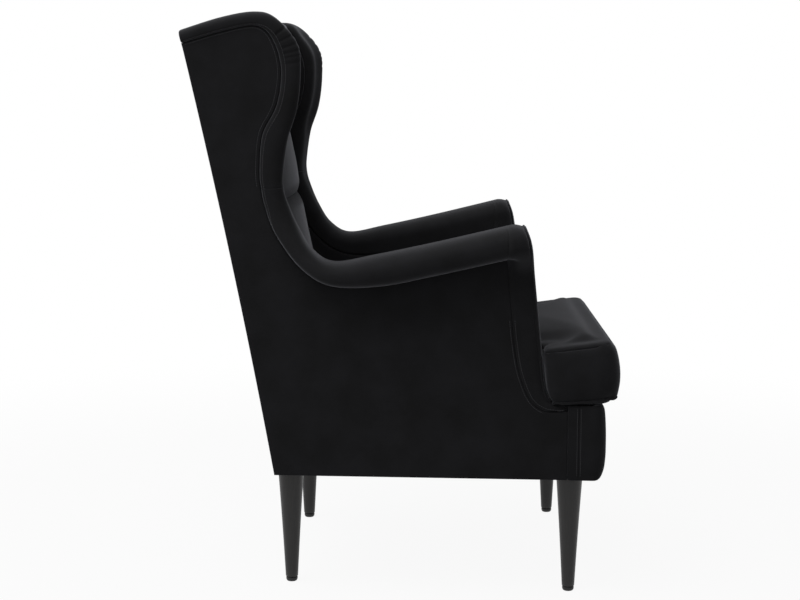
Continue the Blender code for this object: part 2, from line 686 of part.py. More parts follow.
def make_arm_fronts():
    """The padded front of each arm, with the roll's shape on top."""
    seam_h, crest_h = BORDER[-1][1], BORDER[-1][3]
    lower = list(reversed(ARM_FRONT_LEVELS))
    upper = [seam_h + (crest_h - seam_h) * rise for rise in
             (-0.10, 0.02, 0.08, 0.20, ARM_SHOULDER, 0.60, 0.76, 0.90, 0.975)]
    for word, side in SIDES.items():
        rings = [arm_front_ring(height, side) for height in lower + upper]
        loft(f"arm_front_pad_{word}", rings, velvet)


def make_front_border():
    """Padding round the seat's front, with a short return on each side."""
    profile = [(-BORDER_DROP, 0), (-BORDER_DROP, BORDER_BOTTOM_FULL), *BORDER_SECTION,
               (BORDER_TOP, BORDER_TOP_FULL), (BORDER_TOP, 0)]
    inner_y = FRONT_RAIL_FACE_Y - GAP
    corner_y = FRONT_FACE_Y + BORDER_CORNER
    side_x = half_width(corner_y, 0)
    corner_x = side_x - BORDER_CORNER
    path = [(half_width(BORDER_SEAM_Y, 0), BORDER_SEAM_Y)]
    for step in range(5):
        angle = pi / 2 * step / 4
        path.append((corner_x + BORDER_CORNER * cos(angle), corner_y - BORDER_CORNER * sin(angle)))
    path.append((corner_x / 2, FRONT_FACE_Y))
    path += [(-x, y) for x, y in reversed(path)]
    rings = []
    for x, y in path:
        outer = Vector((x, y, 0))
        inner_x = half_width(max(y, inner_y), 0) - SHELL_THICKNESS
        inner = Vector((max(-inner_x, min(x, inner_x)), max(y, inner_y), 0))
        ring = []
        for height, share in profile:
            point = inner + (outer - inner) * share
            ring.append(Vector((point.x * (1 + SIDE_LEAN * height / side_x), point.y, LEG_HEIGHT + height)))
        rings.append(ring)
    loft("front_border", rings, velvet)


def make_back():
    """The crowned back pad with its sewn channel, and the padding over the top rail."""
    front = smooth(BACK_PAD_FRONT, 2)
    top_y, top_h = BACK_PAD_FRONT[-1]
    rear_slope = (TOP_BORDER_REAR[1] - top_h) / (TOP_BORDER_REAR[0] - top_y)
    rear_top = top_h + rear_slope * (pad_rear_y(top_h) - top_y)
    bottom = BACK_PAD_FRONT[0][1]
    levels = sorted({h for _, h in front if abs(h - TUCK_HEIGHT) > TUCK_REACH}
                    | {TUCK_HEIGHT + TUCK_REACH * share for share in (-1, -0.4, 0, 0.4, 1)})
    rings = []
    for height in levels:
        share = (height - bottom) / (top_h - bottom)
        rear_height = bottom + share * (rear_top - bottom)
        channel = TUCK_DEPTH * (1 - ease(abs(height - TUCK_HEIGHT), 0, TUCK_REACH))
        y = value_at(front, 1, 0, height) + channel
        rear_point = pad_rear_y(rear_height)
        ring = []
        for step in range(-4, 5):
            across = step / 4
            point_y = y + BACK_PAD_CROWN * abs(across) ** BACK_PAD_ROUNDING
            point_h = height + (rear_height - height) * (point_y - y) / (rear_point - y)
            half = half_width(point_y, point_h) - SEAT_INSET
            ring.append(Vector((across * half, point_y, LEG_HEIGHT + point_h)))
        ring += [place(side, SEAT_INSET, rear_point, rear_height) for side in (1, -1)]
        rings.append(ring)
    loft("back_pad", rings, velvet)

    outline = [(top_y, top_h + GAP), TOP_BORDER_REAR, *TOP_BORDER_FACE]
    piece = cross_piece("top_border", outline, SEAT_INSET, velvet)
    shade_round(piece.data)


def make_deck():
    """Padded platform over the springs. It widens in front of the arms."""
    half = [(PANEL_INSET, FRONT_RAIL_FACE_Y + GAP), (PANEL_INSET, DECK_EAR_REAR_Y),
            (SEAT_INSET, DECK_EAR_REAR_Y), (SEAT_INSET, DECK_REAR_Y)]
    level_piece("seat_deck", half, DECK_BOTTOM, DECK_TOP, velvet)


def cushion_mesh(name):
    """A T cushion: crowned top, bulging sides, and a flat bottom and rear."""
    bottom = DECK_TOP + GAP
    top = bottom + CUSHION_HEIGHT
    middle_y = (CUSHION_EAR_REAR_Y + CUSHION_REAR_Y) / 2
    rows = (CUSHION_FRONT_Y, CUSHION_EAR_REAR_Y, middle_y, CUSHION_REAR_Y)
    shape = bmesh.new()
    bmesh.ops.create_grid(shape, x_segments=4, y_segments=3, size=1)
    columns = sorted({round(vertex.co.x, 3) for vertex in shape.verts})
    levels = sorted({round(vertex.co.y, 3) for vertex in shape.verts})
    beside_arms = [face for face in shape.faces
                   if abs(face.calc_center_median().x) > 0.5 and face.calc_center_median().y > levels[1]]
    bmesh.ops.delete(shape, geom=beside_arms, context="FACES")
    for vertex in shape.verts:
        column = columns.index(round(vertex.co.x, 3)) - 2
        row = levels.index(round(vertex.co.y, 3))
        y = rows[row]
        main = half_width(y, DECK_TOP) - SIDE_THICKNESS - CUSHION_SIDE_GAP
        x = {0: 0, 1: main, 2: CUSHION_EAR_HALF_WIDTH}[abs(column)] * (1 if column > 0 else -1)
        vertex.co = (x, y, LEG_HEIGHT + bottom)
    grown = bmesh.ops.extrude_face_region(shape, geom=shape.faces[:])
    for item in grown["geom"]:
        if isinstance(item, bmesh.types.BMVert):
            item.co.z = LEG_HEIGHT + top
            if abs(item.co.y - CUSHION_EAR_REAR_Y) < 0.001:
                item.co.y += CUSHION_EAR_SLANT
    bmesh.ops.recalc_face_normals(shape, faces=shape.faces)
    crease = shape.edges.layers.float.new("crease_edge")
    for edge in shape.edges:
        a, b = (vertex.co.z for vertex in edge.verts)
        if edge.calc_face_angle_signed(0) < -pi / 4:
            edge[crease] = 1.0
        elif edge.calc_face_angle(0) > pi / 4:
            edge[crease] = CUSHION_SEAM_CREASE if abs(a - b) < 0.001 else CUSHION_CORNER_CREASE
    cage = bpy.data.meshes.new(name + "_cage")
    shape.to_mesh(cage)
    shape.free()

    holder = bpy.data.objects.new(name + "_cage", cage)
    chair.objects.link(holder)
    subdivide = holder.modifiers.new("round", "SUBSURF")
    subdivide.levels = 2
    subdivide.render_levels = 2
    bpy.context.view_layer.update()
    mesh = bpy.data.meshes.new_from_object(holder.evaluated_get(bpy.context.evaluated_depsgraph_get()))
    bpy.data.objects.remove(holder, do_unlink=True)
    shape_cushion(mesh, bottom, top)
    mesh.name = name
    return mesh


def shape_cushion(mesh, bottom, top):
    """Crown the top, bulge the boxing, pull the front in, and keep clear of arms and back."""
    middle_y = (CUSHION_FRONT_Y + CUSHION_REAR_Y) / 2
    half_depth = (CUSHION_REAR_Y - CUSHION_FRONT_Y) / 2
    normals = [Vector(item.vector) for item in mesh.vertex_normals]
    for vertex, normal in zip(mesh.vertices, normals):
        x, y, z = vertex.co
        level = (z - LEG_HEIGHT - bottom) / (top - bottom)
        swell = max(0, 1 - (2 * level - 1) ** 2)
        if abs(x) > CUSHION_EAR_HALF_WIDTH - CUSHION_EAR_EDGE:
            x += normal.x * CUSHION_BULGE * swell
        if y < CUSHION_EAR_REAR_Y:
            y += min(normal.y, 0) * CUSHION_BULGE * swell
            inward = 1 - min(abs(x) / CUSHION_EAR_HALF_WIDTH, 1) ** 2
            y += CUSHION_DRAW_IN * inward * (1 - level) * -normal.y
        edge = CUSHION_EAR_HALF_WIDTH if y < CUSHION_EAR_REAR_Y else half_width(y, top) - SIDE_THICKNESS
        dome = max(0, 1 - (x / edge) ** 2) * max(0, 1 - abs((y - middle_y) / half_depth) ** 3)
        z += CUSHION_CROWN * dome * max(0, level - 0.5) * 2
        vertex.co = (x, min(y, CUSHION_REAR_Y - CUSHION_REAR_FLAT), max(z, LEG_HEIGHT + bottom))


def make_cushion():
    """The loose cushion: cover with a zip at the rear, foam core, and the zip's slider."""
    cover = add_object("cushion_cover", cushion_mesh("cushion_cover"), velvet)
    shade_round(cover.data, pi / 3)
    wall = cover.modifiers.new("wall", "SOLIDIFY")
    wall.thickness = COVER_THICKNESS
    wall.offset = -1
    zip_y = CUSHION_REAR_Y - CUSHION_REAR_FLAT
    zip_z = LEG_HEIGHT + DECK_TOP + CUSHION_HEIGHT / 2
    reach = 5 * COVER_THICKNESS
    slot = box_mesh("zip_slot", (-ZIP_HALF_LENGTH - GAP, zip_y - reach, zip_z - ZIP_HALF_HEIGHT - GAP),
                    (ZIP_HALF_LENGTH + GAP, zip_y + reach, zip_z + ZIP_HALF_HEIGHT + GAP))
    cut(cover, new_cutter("zip_slot", slot))
    core = cushion_mesh("cushion_core")
    normals = [Vector(item.vector) for item in core.vertex_normals]
    for vertex, normal in zip(core.vertices, normals):
        vertex.co -= normal * (COVER_THICKNESS + CORE_CLEARANCE)
    shade_round(core, pi / 3)
    add_object("cushion_core", core, foam)
    strip = box_mesh("cushion_zip", (-ZIP_HALF_LENGTH, zip_y - ZIP_THICKNESS - GAP, zip_z - ZIP_HALF_HEIGHT),
                     (ZIP_HALF_LENGTH, zip_y - GAP, zip_z + ZIP_HALF_HEIGHT))
    add_object("cushion_zip", strip, lining)
    make_slider(zip_y, zip_z)


def make_slider(zip_y, zip_z):
    """Slider and pull tab in one, at the zip's closed end. Its origin is on its sliding line."""
    width, depth, height = SLIDER_SIZE
    start_x = -ZIP_HALF_LENGTH + width
    body = box_mesh("zip_slider", (-width / 2, GAP, -height / 2), (width / 2, GAP + depth, height / 2))
    slider = add_object("zip_slider", body, spring_steel)
    slider.location = (start_x, zip_y, zip_z)
    pull_width, pull_depth, pull_length = PULL_SIZE
    tab = box_mesh("pull_tab", (-pull_width / 2, GAP + depth - 2 * pull_depth, -pull_length),
                   (pull_width / 2, GAP + depth - pull_depth, 0))
    tab_guide = new_cutter("pull_tab", tab)
    tab_guide.location = slider.location
    join = slider.modifiers.new("pull", "BOOLEAN")
    join.operation = "UNION"
    join.object = tab_guide


def make_legs():
    """Turned legs with a hanger bolt in the top and a glide underneath."""
    leg_top = LEG_HEIGHT + RAIL_LIFT - GAP
    bore = BOLT_RADIUS + GAP
    foot = GLIDE_HEIGHT + GAP
    for end, front in (("front", True), ("rear", False)):
        for word, side in SIDES.items():
            x, y = leg_place(front, side)
            name = f"{end}_{word}"
            shoulder = LEG_HEIGHT - GAP
            profile = [(0, leg_top - BOLT_IN_LEG - GAP), (bore, leg_top - BOLT_IN_LEG - GAP), (bore, leg_top),
                       (LEG_SPIGOT_RADIUS, leg_top), (LEG_SPIGOT_RADIUS, shoulder),
                       (LEG_TOP_RADIUS, shoulder), (LEG_FOOT_RADIUS, foot + LEG_FOOT_ROUNDING),
                       (LEG_FOOT_RADIUS - LEG_FOOT_ROUNDING, foot), (0, foot)]
            turned(f"leg_{name}", profile, x, y, stained_wood)
            bolt_top = LEG_HEIGHT + RAIL_LIFT + BLOCK_HEIGHT + BOLT_ABOVE_BLOCK
            bolt_foot = leg_top - BOLT_IN_LEG
            bolt = [(0, bolt_top), (BOLT_RADIUS, bolt_top), (BOLT_RADIUS, bolt_foot), (0, bolt_foot)]
            turned(f"leg_bolt_{name}", bolt, x, y, spring_steel, 12)
            glide = [(0, GLIDE_HEIGHT), (GLIDE_RADIUS, GLIDE_HEIGHT), (GLIDE_RADIUS, GLIDE_EDGE),
                     (GLIDE_FLAT_RADIUS, 0), (0, 0)]
            turned(f"leg_glide_{name}", glide, x, y, glide_plastic)


clear_scene()
chair = new_collection("wing_armchair")
cutters = new_collection("cutters")

velvet = new_material("black_velvet", (0.0105, 0.0105, 0.0115), 0.85)
lining = new_material("black_lining", (0.010, 0.010, 0.010), 0.9)
stained_wood = new_material("black_stained_wood", (0.030, 0.030, 0.031), 0.45)
beech = new_material("beech", (0.55, 0.36, 0.19), 0.6)
plywood = new_material("birch_plywood", (0.62, 0.45, 0.27), 0.6)
webbing = new_material("elastic_webbing", (0.20, 0.16, 0.11), 0.8)
foam = new_material("foam", (0.75, 0.68, 0.50), 0.9)
spring_steel = new_material("spring_steel", (0.45, 0.45, 0.46), 0.35, 1.0)
glide_plastic = new_material("black_glide", (0.012, 0.012, 0.012), 0.5)

make_seat_frame()
make_upper_frame()
make_springs_and_webbing()
make_outer_panels()
make_borders()
make_inner_pads()
make_arm_fronts()
make_front_border()
make_back()
make_deck()
make_cushion()
make_legs()
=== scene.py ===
"""The looks of a winged armchair in black velvet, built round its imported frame.

Units are metres. The chair stands on Z = 0 and faces -Y, and +X is the sitter's left. Heights in the
body's outlines are measured from its underside, at the top of the legs. Insets are measured inwards
from the outer side panels.
"""
from collections import Counter
from math import cos, exp, hypot, log, pi, radians, sin

import bmesh
import bpy
from mathutils import Matrix, Vector
from mathutils.bvhtree import BVHTree
from mathutils.kdtree import KDTree


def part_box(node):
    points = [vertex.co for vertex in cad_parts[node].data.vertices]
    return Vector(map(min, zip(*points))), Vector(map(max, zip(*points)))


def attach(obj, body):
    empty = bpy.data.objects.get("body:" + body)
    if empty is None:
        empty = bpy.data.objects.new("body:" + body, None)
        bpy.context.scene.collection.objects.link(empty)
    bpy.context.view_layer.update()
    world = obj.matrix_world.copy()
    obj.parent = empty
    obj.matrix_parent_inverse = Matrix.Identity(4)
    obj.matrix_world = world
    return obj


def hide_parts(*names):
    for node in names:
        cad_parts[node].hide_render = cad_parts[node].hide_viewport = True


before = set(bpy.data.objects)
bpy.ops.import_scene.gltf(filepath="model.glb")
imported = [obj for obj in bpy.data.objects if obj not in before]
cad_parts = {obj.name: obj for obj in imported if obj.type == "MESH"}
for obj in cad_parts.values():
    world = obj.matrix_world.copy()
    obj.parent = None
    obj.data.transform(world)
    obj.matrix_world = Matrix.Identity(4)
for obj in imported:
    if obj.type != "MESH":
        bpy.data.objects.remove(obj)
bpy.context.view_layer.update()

MM = 0.001
GAP = 0.3 * MM                  # between pieces that touch
SIDES = {"left": 1, "right": -1}

# Camera, found from the legs and the mirror-like arms and wings
CAMERA_PLACE = (-3.2291, -0.0458, 0.9085)
CAMERA_YAW = radians(0.9694)
CAMERA_PITCH = radians(7.365)
CAMERA_LENS = 75.58

# Light
FLOOR_GLOW = 0.93               # share of the floor's white that no shadow darkens, near the chair
FLOOR_GLOW_GROWS = (0.9, 2.4)   # it grows to 1 between these distances from the chair
HORIZON_LIGHT = 0.36
ZENITH_LIGHT = 0.80
FRONT_LIGHT = 0.20              # share of it that comes from the front, and from behind
REAR_LIGHT = 1.65
SOFTBOX_POWER = 85              # watts
SOFTBOX_SIZE = 3.0
SOFTBOX_PLACE = (-0.8, 1.2, 3.4)

# Body, as in the frame
REAR_HALF_WIDTH = 0.290
TAPER_START_Y = 0.2280
SIDE_TAPER = 0.0577
SIDE_LEAN = 0.020
REAR_FOOT_Y = 0.2300
BACK_RAKE = 0.2007
BODY_FOOT = -0.0025             # the outer panels end this low, under the frame
BACK_BOW = 0.0055
BACK_HEIGHT = 0.7756
LEG_HEIGHT = 0.2135
SHELL_THICKNESS = 0.005
BOARD_INSET = 0.0176            # inner pads start here, on the wing boards
ARM_PAD_INSET = 0.0276
SIDE_THICKNESS = 0.062
PAD_REAR_OFFSET = 0.0529        # from the back's outside to the rear of the pads
FRONT_FACE_Y = -0.3619
BORDER_PADDING = 0.0236

# Padded border of wing and arm: (seam y, seam height, crest y, crest height), from the back's top corner
# round the wing and down to the waist, then along the arm to its front
BORDER = [
    (0.3832, 0.7636, 0.3885, 0.7862),
    (0.3133, 0.7835, 0.3160, 0.8084),
    (0.2600, 0.7937, 0.2560, 0.8180),
    (0.2330, 0.7830, 0.2150, 0.8072),
    (0.2150, 0.7500, 0.1762, 0.7620),
    (0.2089, 0.7085, 0.1722, 0.7080),
    (0.2181, 0.6554, 0.1795, 0.6470),
    (0.2428, 0.6054, 0.1970, 0.5930),
    (0.2487, 0.5449, 0.2055, 0.5400),
    (0.2465, 0.5130, 0.2055, 0.5130),
    (0.2400, 0.4800, 0.1992, 0.4880),
    (0.2219, 0.4316, 0.1832, 0.4450),
    (0.1787, 0.3737, 0.1590, 0.4055),
    (0.1242, 0.3428, 0.1200, 0.3838),
    (0.0376, 0.3430, 0.0450, 0.3970),
    (-0.0557, 0.3615, -0.0600, 0.4196),
    (-0.1832, 0.3910, -0.1832, 0.4488),
]
WAIST = 9
INNER_SPLIT = 11.5
ARM_START = 13
BORDER_END = len(BORDER) - 1
WING_PROUD = 0.006
WING_TURNED_IN = 0.40           # the wing's border falls away towards its inner side by this share
ARM_OVERHANG = 0.062
WING_SHOULDER = 0.35
ARM_SHOULDER = 0.46
SECTION_MIDDLE = 0.45           # rise round which the border's ends close
ROLL_WIDEST = 0.4172            # height at which the roll is widest at the arm's front
ROLL_DRAWN_DOWN = 0.056         # its cover is drawn down over this height
ROLL_FULLNESS = 0.78
ROLL_END_PUFF = 0.0022          # the arm front's top rises by this behind its welt
OUTER_FACE = slice(39, 52)      # of the border's section: from its fullest point to the seam
# Folds where the border's cover is gathered round the wing's top corner: (station, depth, width) of each
GATHERS = [(3.40, 2.0 * MM, 2.4 * MM), (3.69, 1.5 * MM, 1.8 * MM), (3.97, 1.3 * MM, 2.2 * MM),
           (4.20, 1.3 * MM, 1.8 * MM), (4.38, 0.9 * MM, 1.6 * MM), (4.60, 1.1 * MM, 2.6 * MM)]

# Arm front: seam to the outer panel and face seen from the side, as (y, height)
ARM_FRONT_SEAM = [(-0.1832, 0.3910), (-0.1868, 0.3387), (-0.1924, 0.2862), (-0.1971, 0.2422),
                  (-0.2045, 0.1981), (-0.2171, 0.1592), (-0.2313, 0.1353), (-0.2524, 0.1222),
                  (-0.2769, 0.1196), (-0.2915, 0.1190)]
ARM_FRONT_FACE = [(-0.2147, 0.4488), (-0.2243, 0.4226), (-0.2308, 0.3806), (-0.2352, 0.3384),
                  (-0.2436, 0.2562), (-0.2530, 0.1672), (-0.2604, 0.1439), (-0.2700, 0.1345),
                  (-0.2800, 0.1310), (-0.2915, 0.1295), (-0.2915, 0.1180)]
ARM_FRONT_FOOT = 0.1222
ARM_FRONT_SQUARENESS = 0.6
ARM_POST_FOOT = 0.140
FACING_WELT_ANGLE = radians(54)     # where the facing's welt lies on the rounded front, from the side
FACING_WELT_SUNK = (1.2 * MM, 0.10)     # its seam sinks in by this, over this angle

# Front border and back
BORDER_SEAM_Y = -0.2925
BORDER_SECTION = [(-0.003, 0.00), (-0.003, 0.35), (0.000, 0.62), (0.015, 0.87), (0.037, 0.98),
                  (0.060, 1.0), (0.085, 0.985), (0.112, 0.92), (0.126, 0.82), (0.1316, 0.60), (0.1316, 0.0)]
BORDER_MIDDLE = 0.0643          # half the height of the front border
BORDER_CORNER = 0.026
SIDE_JOIN = 0.0195              # the front border's cover is joined this far in front of its rear edge
SIDE_JOIN_ROWS = 3.2 * MM       # rows of stitches on both sides of that join
SIDE_JOIN_SPAN = (0.005, 0.121)     # the rows' lowest level and their height
BACK_PAD_FRONT = [(0.1180, 0.1114), (0.1300, 0.1450), (0.1510, 0.2465), (0.1790, 0.3746),
                  (0.1940, 0.4482), (0.2012, 0.4829), (0.2080, 0.5347), (0.2198, 0.5940),
                  (0.2405, 0.6865), (0.2510, 0.7450), (0.2560, 0.7837)]
BACK_PAD_CROWN = 0.026
BACK_PAD_SETTLED = 0.002        # the pad's front has sunk in by this
TUCK_HEIGHT = 0.4829
TUCK_DEPTH = 0.010
TUCK_REACH = 0.022
TUCK_CREASE = 0.003
TOP_BORDER_REAR = (0.3830, 0.7655)
TOP_BORDER_FACE = [(0.3857, 0.7756), (0.3500, 0.7935), (0.3160, 0.8060), (0.2850, 0.8135),
                   (0.2600, 0.8165), (0.2480, 0.8125), (0.2415, 0.8020), (0.2425, 0.7900)]
TOP_BORDER_MIDDLE = (0.315, 0.785)

# Deck and dust cover
DECK_EAR_REAR_Y = -0.280        # the deck is wider in front of this
DECK_TUCKED_IN = 28 * MM        # its cover reaches this far under the back pad
LEG_NOTCH = 0.034               # half the width of the dust cover's notches round the legs
LINING_THICKNESS = 0.5 * MM
LINING_SAG = 1.6 * MM
STRAP_THICKNESS = 1.9 * MM      # of the elastic webbing

# Seat cushion: a T in plan, with ears in front of the arms
CUSHION_EAR_HALF_WIDTH = 0.3245
CUSHION_FRONT_Y = -0.3780       # of the lower seam
CUSHION_TOP_BACK = 0.0060       # the upper seam lies this far behind the lower one in front
CUSHION_EAR_REAR_Y = -0.2515
CUSHION_EAR_SLANT = 0.0040      # the ear's rear leans back by this over the cushion's height
CUSHION_REAR_Y = 0.1085
CUSHION_SIDE_GAP = 0.0035
CUSHION_LEVEL = 0.2             # height at which its width between the arms is taken
CUSHION_BOTTOM_SEAM = 0.3500    # height of the seams over the floor, behind the ears
CUSHION_TOP_SEAM = 0.4410
CUSHION_MIDDLE = (CUSHION_BOTTOM_SEAM + CUSHION_TOP_SEAM) / 2
CUSHION_BOTTOM_RISE = 0.0085    # both seams rise over the ears, towards the front
CUSHION_TOP_RISE = 0.0160
CUSHION_PUFF = 0.004            # the top puffs up beside its seams, then steps up, then rises to its crown
CUSHION_STEP = (0.006, 0.036, 0.075)    # rise, and distances from the seam where it begins and ends
CUSHION_CROWN = 0.027
CUSHION_CROWN_REACH = (0.040, 0.120)    # where the crown begins, and over which length it rises
CUSHION_DOME = 0.012            # the seat between the arms rises by this more
CUSHION_DOME_GROWS = (0.04, 0.20)       # between these distances from the seams
CUSHION_DOME_BEHIND = (-0.26, -0.12)    # and between these depths, in Y
CUSHION_UNDERSIDE = (0.018, 0.012)      # it swells by this, over this length from its seam
CUSHION_FRONT_STEEPER = 1.5     # the top's rise takes a shorter length behind the front seam
CUSHION_BULGE = 12 * MM         # of the boxing in front
CUSHION_BULGE_SIDE = 0.85       # share of it at the ears' sides
CUSHION_BULGE_TURN = 0.03       # the bulge turns from front to side within this distance of the corner
CUSHION_CELL = 9.5 * MM
# Corners of the cushion's plan: (radius, on the ear or not, front or rear)
CUSHION_CORNERS = [(0.030, 1, -1), (0.024, 1, 1), (0.018, 0, 1)]
CUSHION_SEAM_DIPS = (-0.8 * MM, 5.5 * MM)    # the covers turn in this far at the lower and upper seam
CUSHION_SEAM_CREASE = 3.5 * MM  # the seams are creased over this width on both sides
CUSHION_GROOVE = 2.6 * MM       # depth of the narrow groove in the upper seam itself
WELT_RADIUS = 2.5 * MM
WELT_STANDS_OFF = 1.3 * MM      # the welt's middle lies at most this far from the cover
CORE_INSET = 11 * MM            # the foam lies this far inside the cover, under its wadding
ZIP_HALF_LENGTH = 0.180
ZIP_LEVEL = 0.4025
ZIP_TOOTH = (0.9 * MM, 0.7 * MM, 2.1 * MM)
ZIP_PITCH = 1.9 * MM

# Legs
LEG_TOP_RADIUS = 0.0236
LEG_FOOT_RADIUS = 0.0113
LEG_SPIGOT_RADIUS = 0.0170
GLIDE_RADIUS = 0.0105

# Materials
WAVE_BAND = 0.314               # width of one band of a wave texture at a scale of 1

# Sewing
SEAM_DEPTH = 3.0 * MM           # covers dip this far into a seam
SEAM_WIDTH = 5.0 * MM           # and begin to dip this far from it
ALLOWANCE_INSET = 4.2 * MM      # seam allowances lie this deep behind the outer seams
TOPSTITCH_OFFSET = 4.6 * MM     # rows of stitches on both sides of a seam
STITCH_SUNK = 0.10 * MM
ARM_ROWS_TOP = 0.285            # the rows beside the arm front's seam begin at this height
STITCH_PITCH = 4.2 * MM
STITCH_LENGTH = 3.2 * MM
STITCH_THICKNESS = 0.85 * MM

# Rounded edges of the flat panels and pads, and of the deck: (step inwards, rise)
RIM = [(0.25 * MM, 1.1 * MM), (0.45 * MM, 0.8 * MM), (0.8 * MM, 0.6 * MM), (1.1 * MM, 0.35 * MM),
       (1.4 * MM, 0.15 * MM)]
RIM_RISE = sum(rise for _, rise in RIM)
RIM_FLATTENED = 0.85            # share by which the rim is flat beside the arm front's seam
DECK_RIM = [(0.2 * MM, 1.6 * MM), (0.7 * MM, 1.6 * MM), (1.2 * MM, 1.2 * MM), (1.8 * MM, 0.7 * MM),
            (2.2 * MM, 0.3 * MM)]


def half_width(y, height):
    """From the middle plane to the outer panel's outside."""
    return REAR_HALF_WIDTH + SIDE_TAPER * (TAPER_START_Y - y) + SIDE_LEAN * height


def rear_y(height):
    """Outside of the back at a height."""
    share = height / BACK_HEIGHT
    return REAR_FOOT_Y + BACK_RAKE * height - 4 * BACK_BOW * share * (1 - share)


def pad_rear_y(height):
    """Rear of the inner pads and the back pad."""
    return rear_y(height) - PAD_REAR_OFFSET


def at(side, inset, y, height):
    """A point of the body."""
    return Vector((side * (half_width(y, height) - inset), y, LEG_HEIGHT + height))


def steps(low, high, count, end=0):
    """Even steps from low towards high, which is among them when end is 1."""
    return [low + (high - low) * step / count for step in range(count + end)]


def between(start, end, count):
    """Even steps from one point of an outline towards another, without the last."""
    return [tuple(a + (b - a) * step / count for a, b in zip(start, end)) for step in range(count)]


def blend_between(points, position):
    """A smooth curve through the points, read at a position that is counted in points."""
    last = len(points) - 1
    index = max(0, min(int(position), last - 1))
    t = position - index
    near = [points[max(index - 1, 0)], points[index], points[index + 1], points[min(index + 2, last)]]
    return tuple(0.5 * (2 * b + (c - a) * t + (2 * a - 5 * b + 4 * c - d) * t ** 2
                        + (3 * b - a - 3 * c + d) * t ** 3) for a, b, c, d in zip(*near))


def even_positions(points, first, last, spacing):
    """Positions along a smooth curve with the length walked to each, evenly spaced."""
    fine = 900
    places = steps(first, last, fine, 1)
    walked = [0.0]
    spots = [blend_between(points, place) for place in places]
    for a, b in zip(spots, spots[1:]):
        parts = [hypot(b[k] - a[k], b[k + 1] - a[k + 1]) for k in range(0, len(a) - 1, 2)]
        walked.append(walked[-1] + sum(parts) / len(parts))
    count = max(2, round(walked[-1] / spacing))
    result = []
    index = 0
    for step in range(count + 1):
        wanted = walked[-1] * step / count
        while index < fine - 1 and walked[index + 1] < wanted:
            index += 1
        share = (wanted - walked[index]) / (walked[index + 1] - walked[index])
        result.append((places[index] + share * (places[index + 1] - places[index]), wanted))
    return result


def smooth_line(points, spacing):
    """A smooth line through the points, with evenly spaced points of its own."""
    return [blend_between(points, place) for place, _ in even_positions(points, 0, len(points) - 1, spacing)]


def value_at(line, key, value, wanted):
    """Read one coordinate of a line where its other coordinate has a given value."""
    ordered = sorted(line, key=lambda point: point[key])
    for low, high in zip(ordered, ordered[1:]):
        if low[key] <= wanted <= high[key] and high[key] > low[key]:
            share = (wanted - low[key]) / (high[key] - low[key])
            return low[value] + share * (high[value] - low[value])
    return (ordered[0] if wanted < ordered[0][key] else ordered[-1])[value]


def ease(value, low, high):
    """0 below low, 1 above high, and a soft step between."""
    share = min(max((value - low) / (high - low), 0), 1)
    return share * share * (3 - 2 * share)


def soft_least(*distances):
    """The least of some distances, with a soft change where two are alike."""
    blend = 7 * MM
    return max(0, -blend * log(sum(exp(-distance / blend) for distance in distances)))


def full(share, power=ROLL_FULLNESS):
    """Raise a sine or cosine so that a round section becomes fuller. Keeps its sign."""
    return abs(share) ** power * (1 if share > 0 else -1) if abs(share) > 1e-9 else 0


def seam_dip(distance, depth=SEAM_DEPTH, width=SEAM_WIDTH):
    """How far a cover has turned in towards a seam at a distance from it."""
    share = min(max(distance / width, 0), 1)
    return depth * (1 - (1 - (1 - share) ** 2) ** 0.5)


def drawn_to(low, high, ends, step):
    """Distances from low to high: finer near both ends, with steps no longer than the given one."""
    near = [low + part for part in ends]
    far = [high - part for part in reversed(ends)]
    count = max(1, round((far[0] - near[-1]) / step))
    return near + steps(near[-1], far[0], count)[1:] + far


def new_grid(columns, rows, place):
    """A grid whose point at column i and row j goes to place(i, j). Its spot keeps i and j."""
    shape = bmesh.new()
    bmesh.ops.create_grid(shape, x_segments=columns - 1, y_segments=rows - 1, size=0.5)
    spot = shape.verts.layers.float_vector.new("spot")
    for vertex in shape.verts:
        i = round((vertex.co.x + 0.5) * (columns - 1))
        j = round((vertex.co.y + 0.5) * (rows - 1))
        vertex[spot] = (i, j, 0)
        vertex.co = place(i, j)
    return shape


def new_skin(columns, rows, place, relief=None):
    """A grid that is closed where its edges meet, and then raised by relief(i, j), outwards."""
    shape = new_grid(columns, rows, place)
    bmesh.ops.remove_doubles(shape, verts=shape.verts, dist=0.02 * MM)
    bmesh.ops.recalc_face_normals(shape, faces=shape.faces)
    if relief:
        shape.normal_update()
        spot = shape.verts.layers.float_vector["spot"]
        moves = [vertex.normal * relief(round(vertex[spot].x), round(vertex[spot].y))
                 for vertex in shape.verts]
        for vertex, move in zip(shape.verts, moves):
            vertex.co += move
    return shape


def new_object(name, data):
    """An object in the scene, from a mesh, a camera or a lamp."""
    thing = bpy.data.objects.new(name, data)
    bpy.context.scene.collection.objects.link(thing)
    return thing


def new_mesh(name, shape, material):
    """A mesh of one material from a bmesh, which is freed."""
    mesh = bpy.data.meshes.new(name)
    shape.to_mesh(mesh)
    shape.free()
    mesh.materials.append(material)
    return mesh


def new_piece(name, shape, material, nodes=(), body="chair", crease=None):
    """Turn a bmesh into a piece that rides on a body and stands for the nodes it replaces."""
    mesh = new_mesh(name, shape, material)
    mesh.shade_smooth()
    if crease:
        mesh.set_sharp_from_angle(angle=crease)
    return settle(new_object(name, mesh), nodes, body)


def settle(thing, nodes, body):
    """Say what a finished piece rides on and stands for."""
    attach(thing, body)
    if nodes:
        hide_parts(*nodes)
    return thing


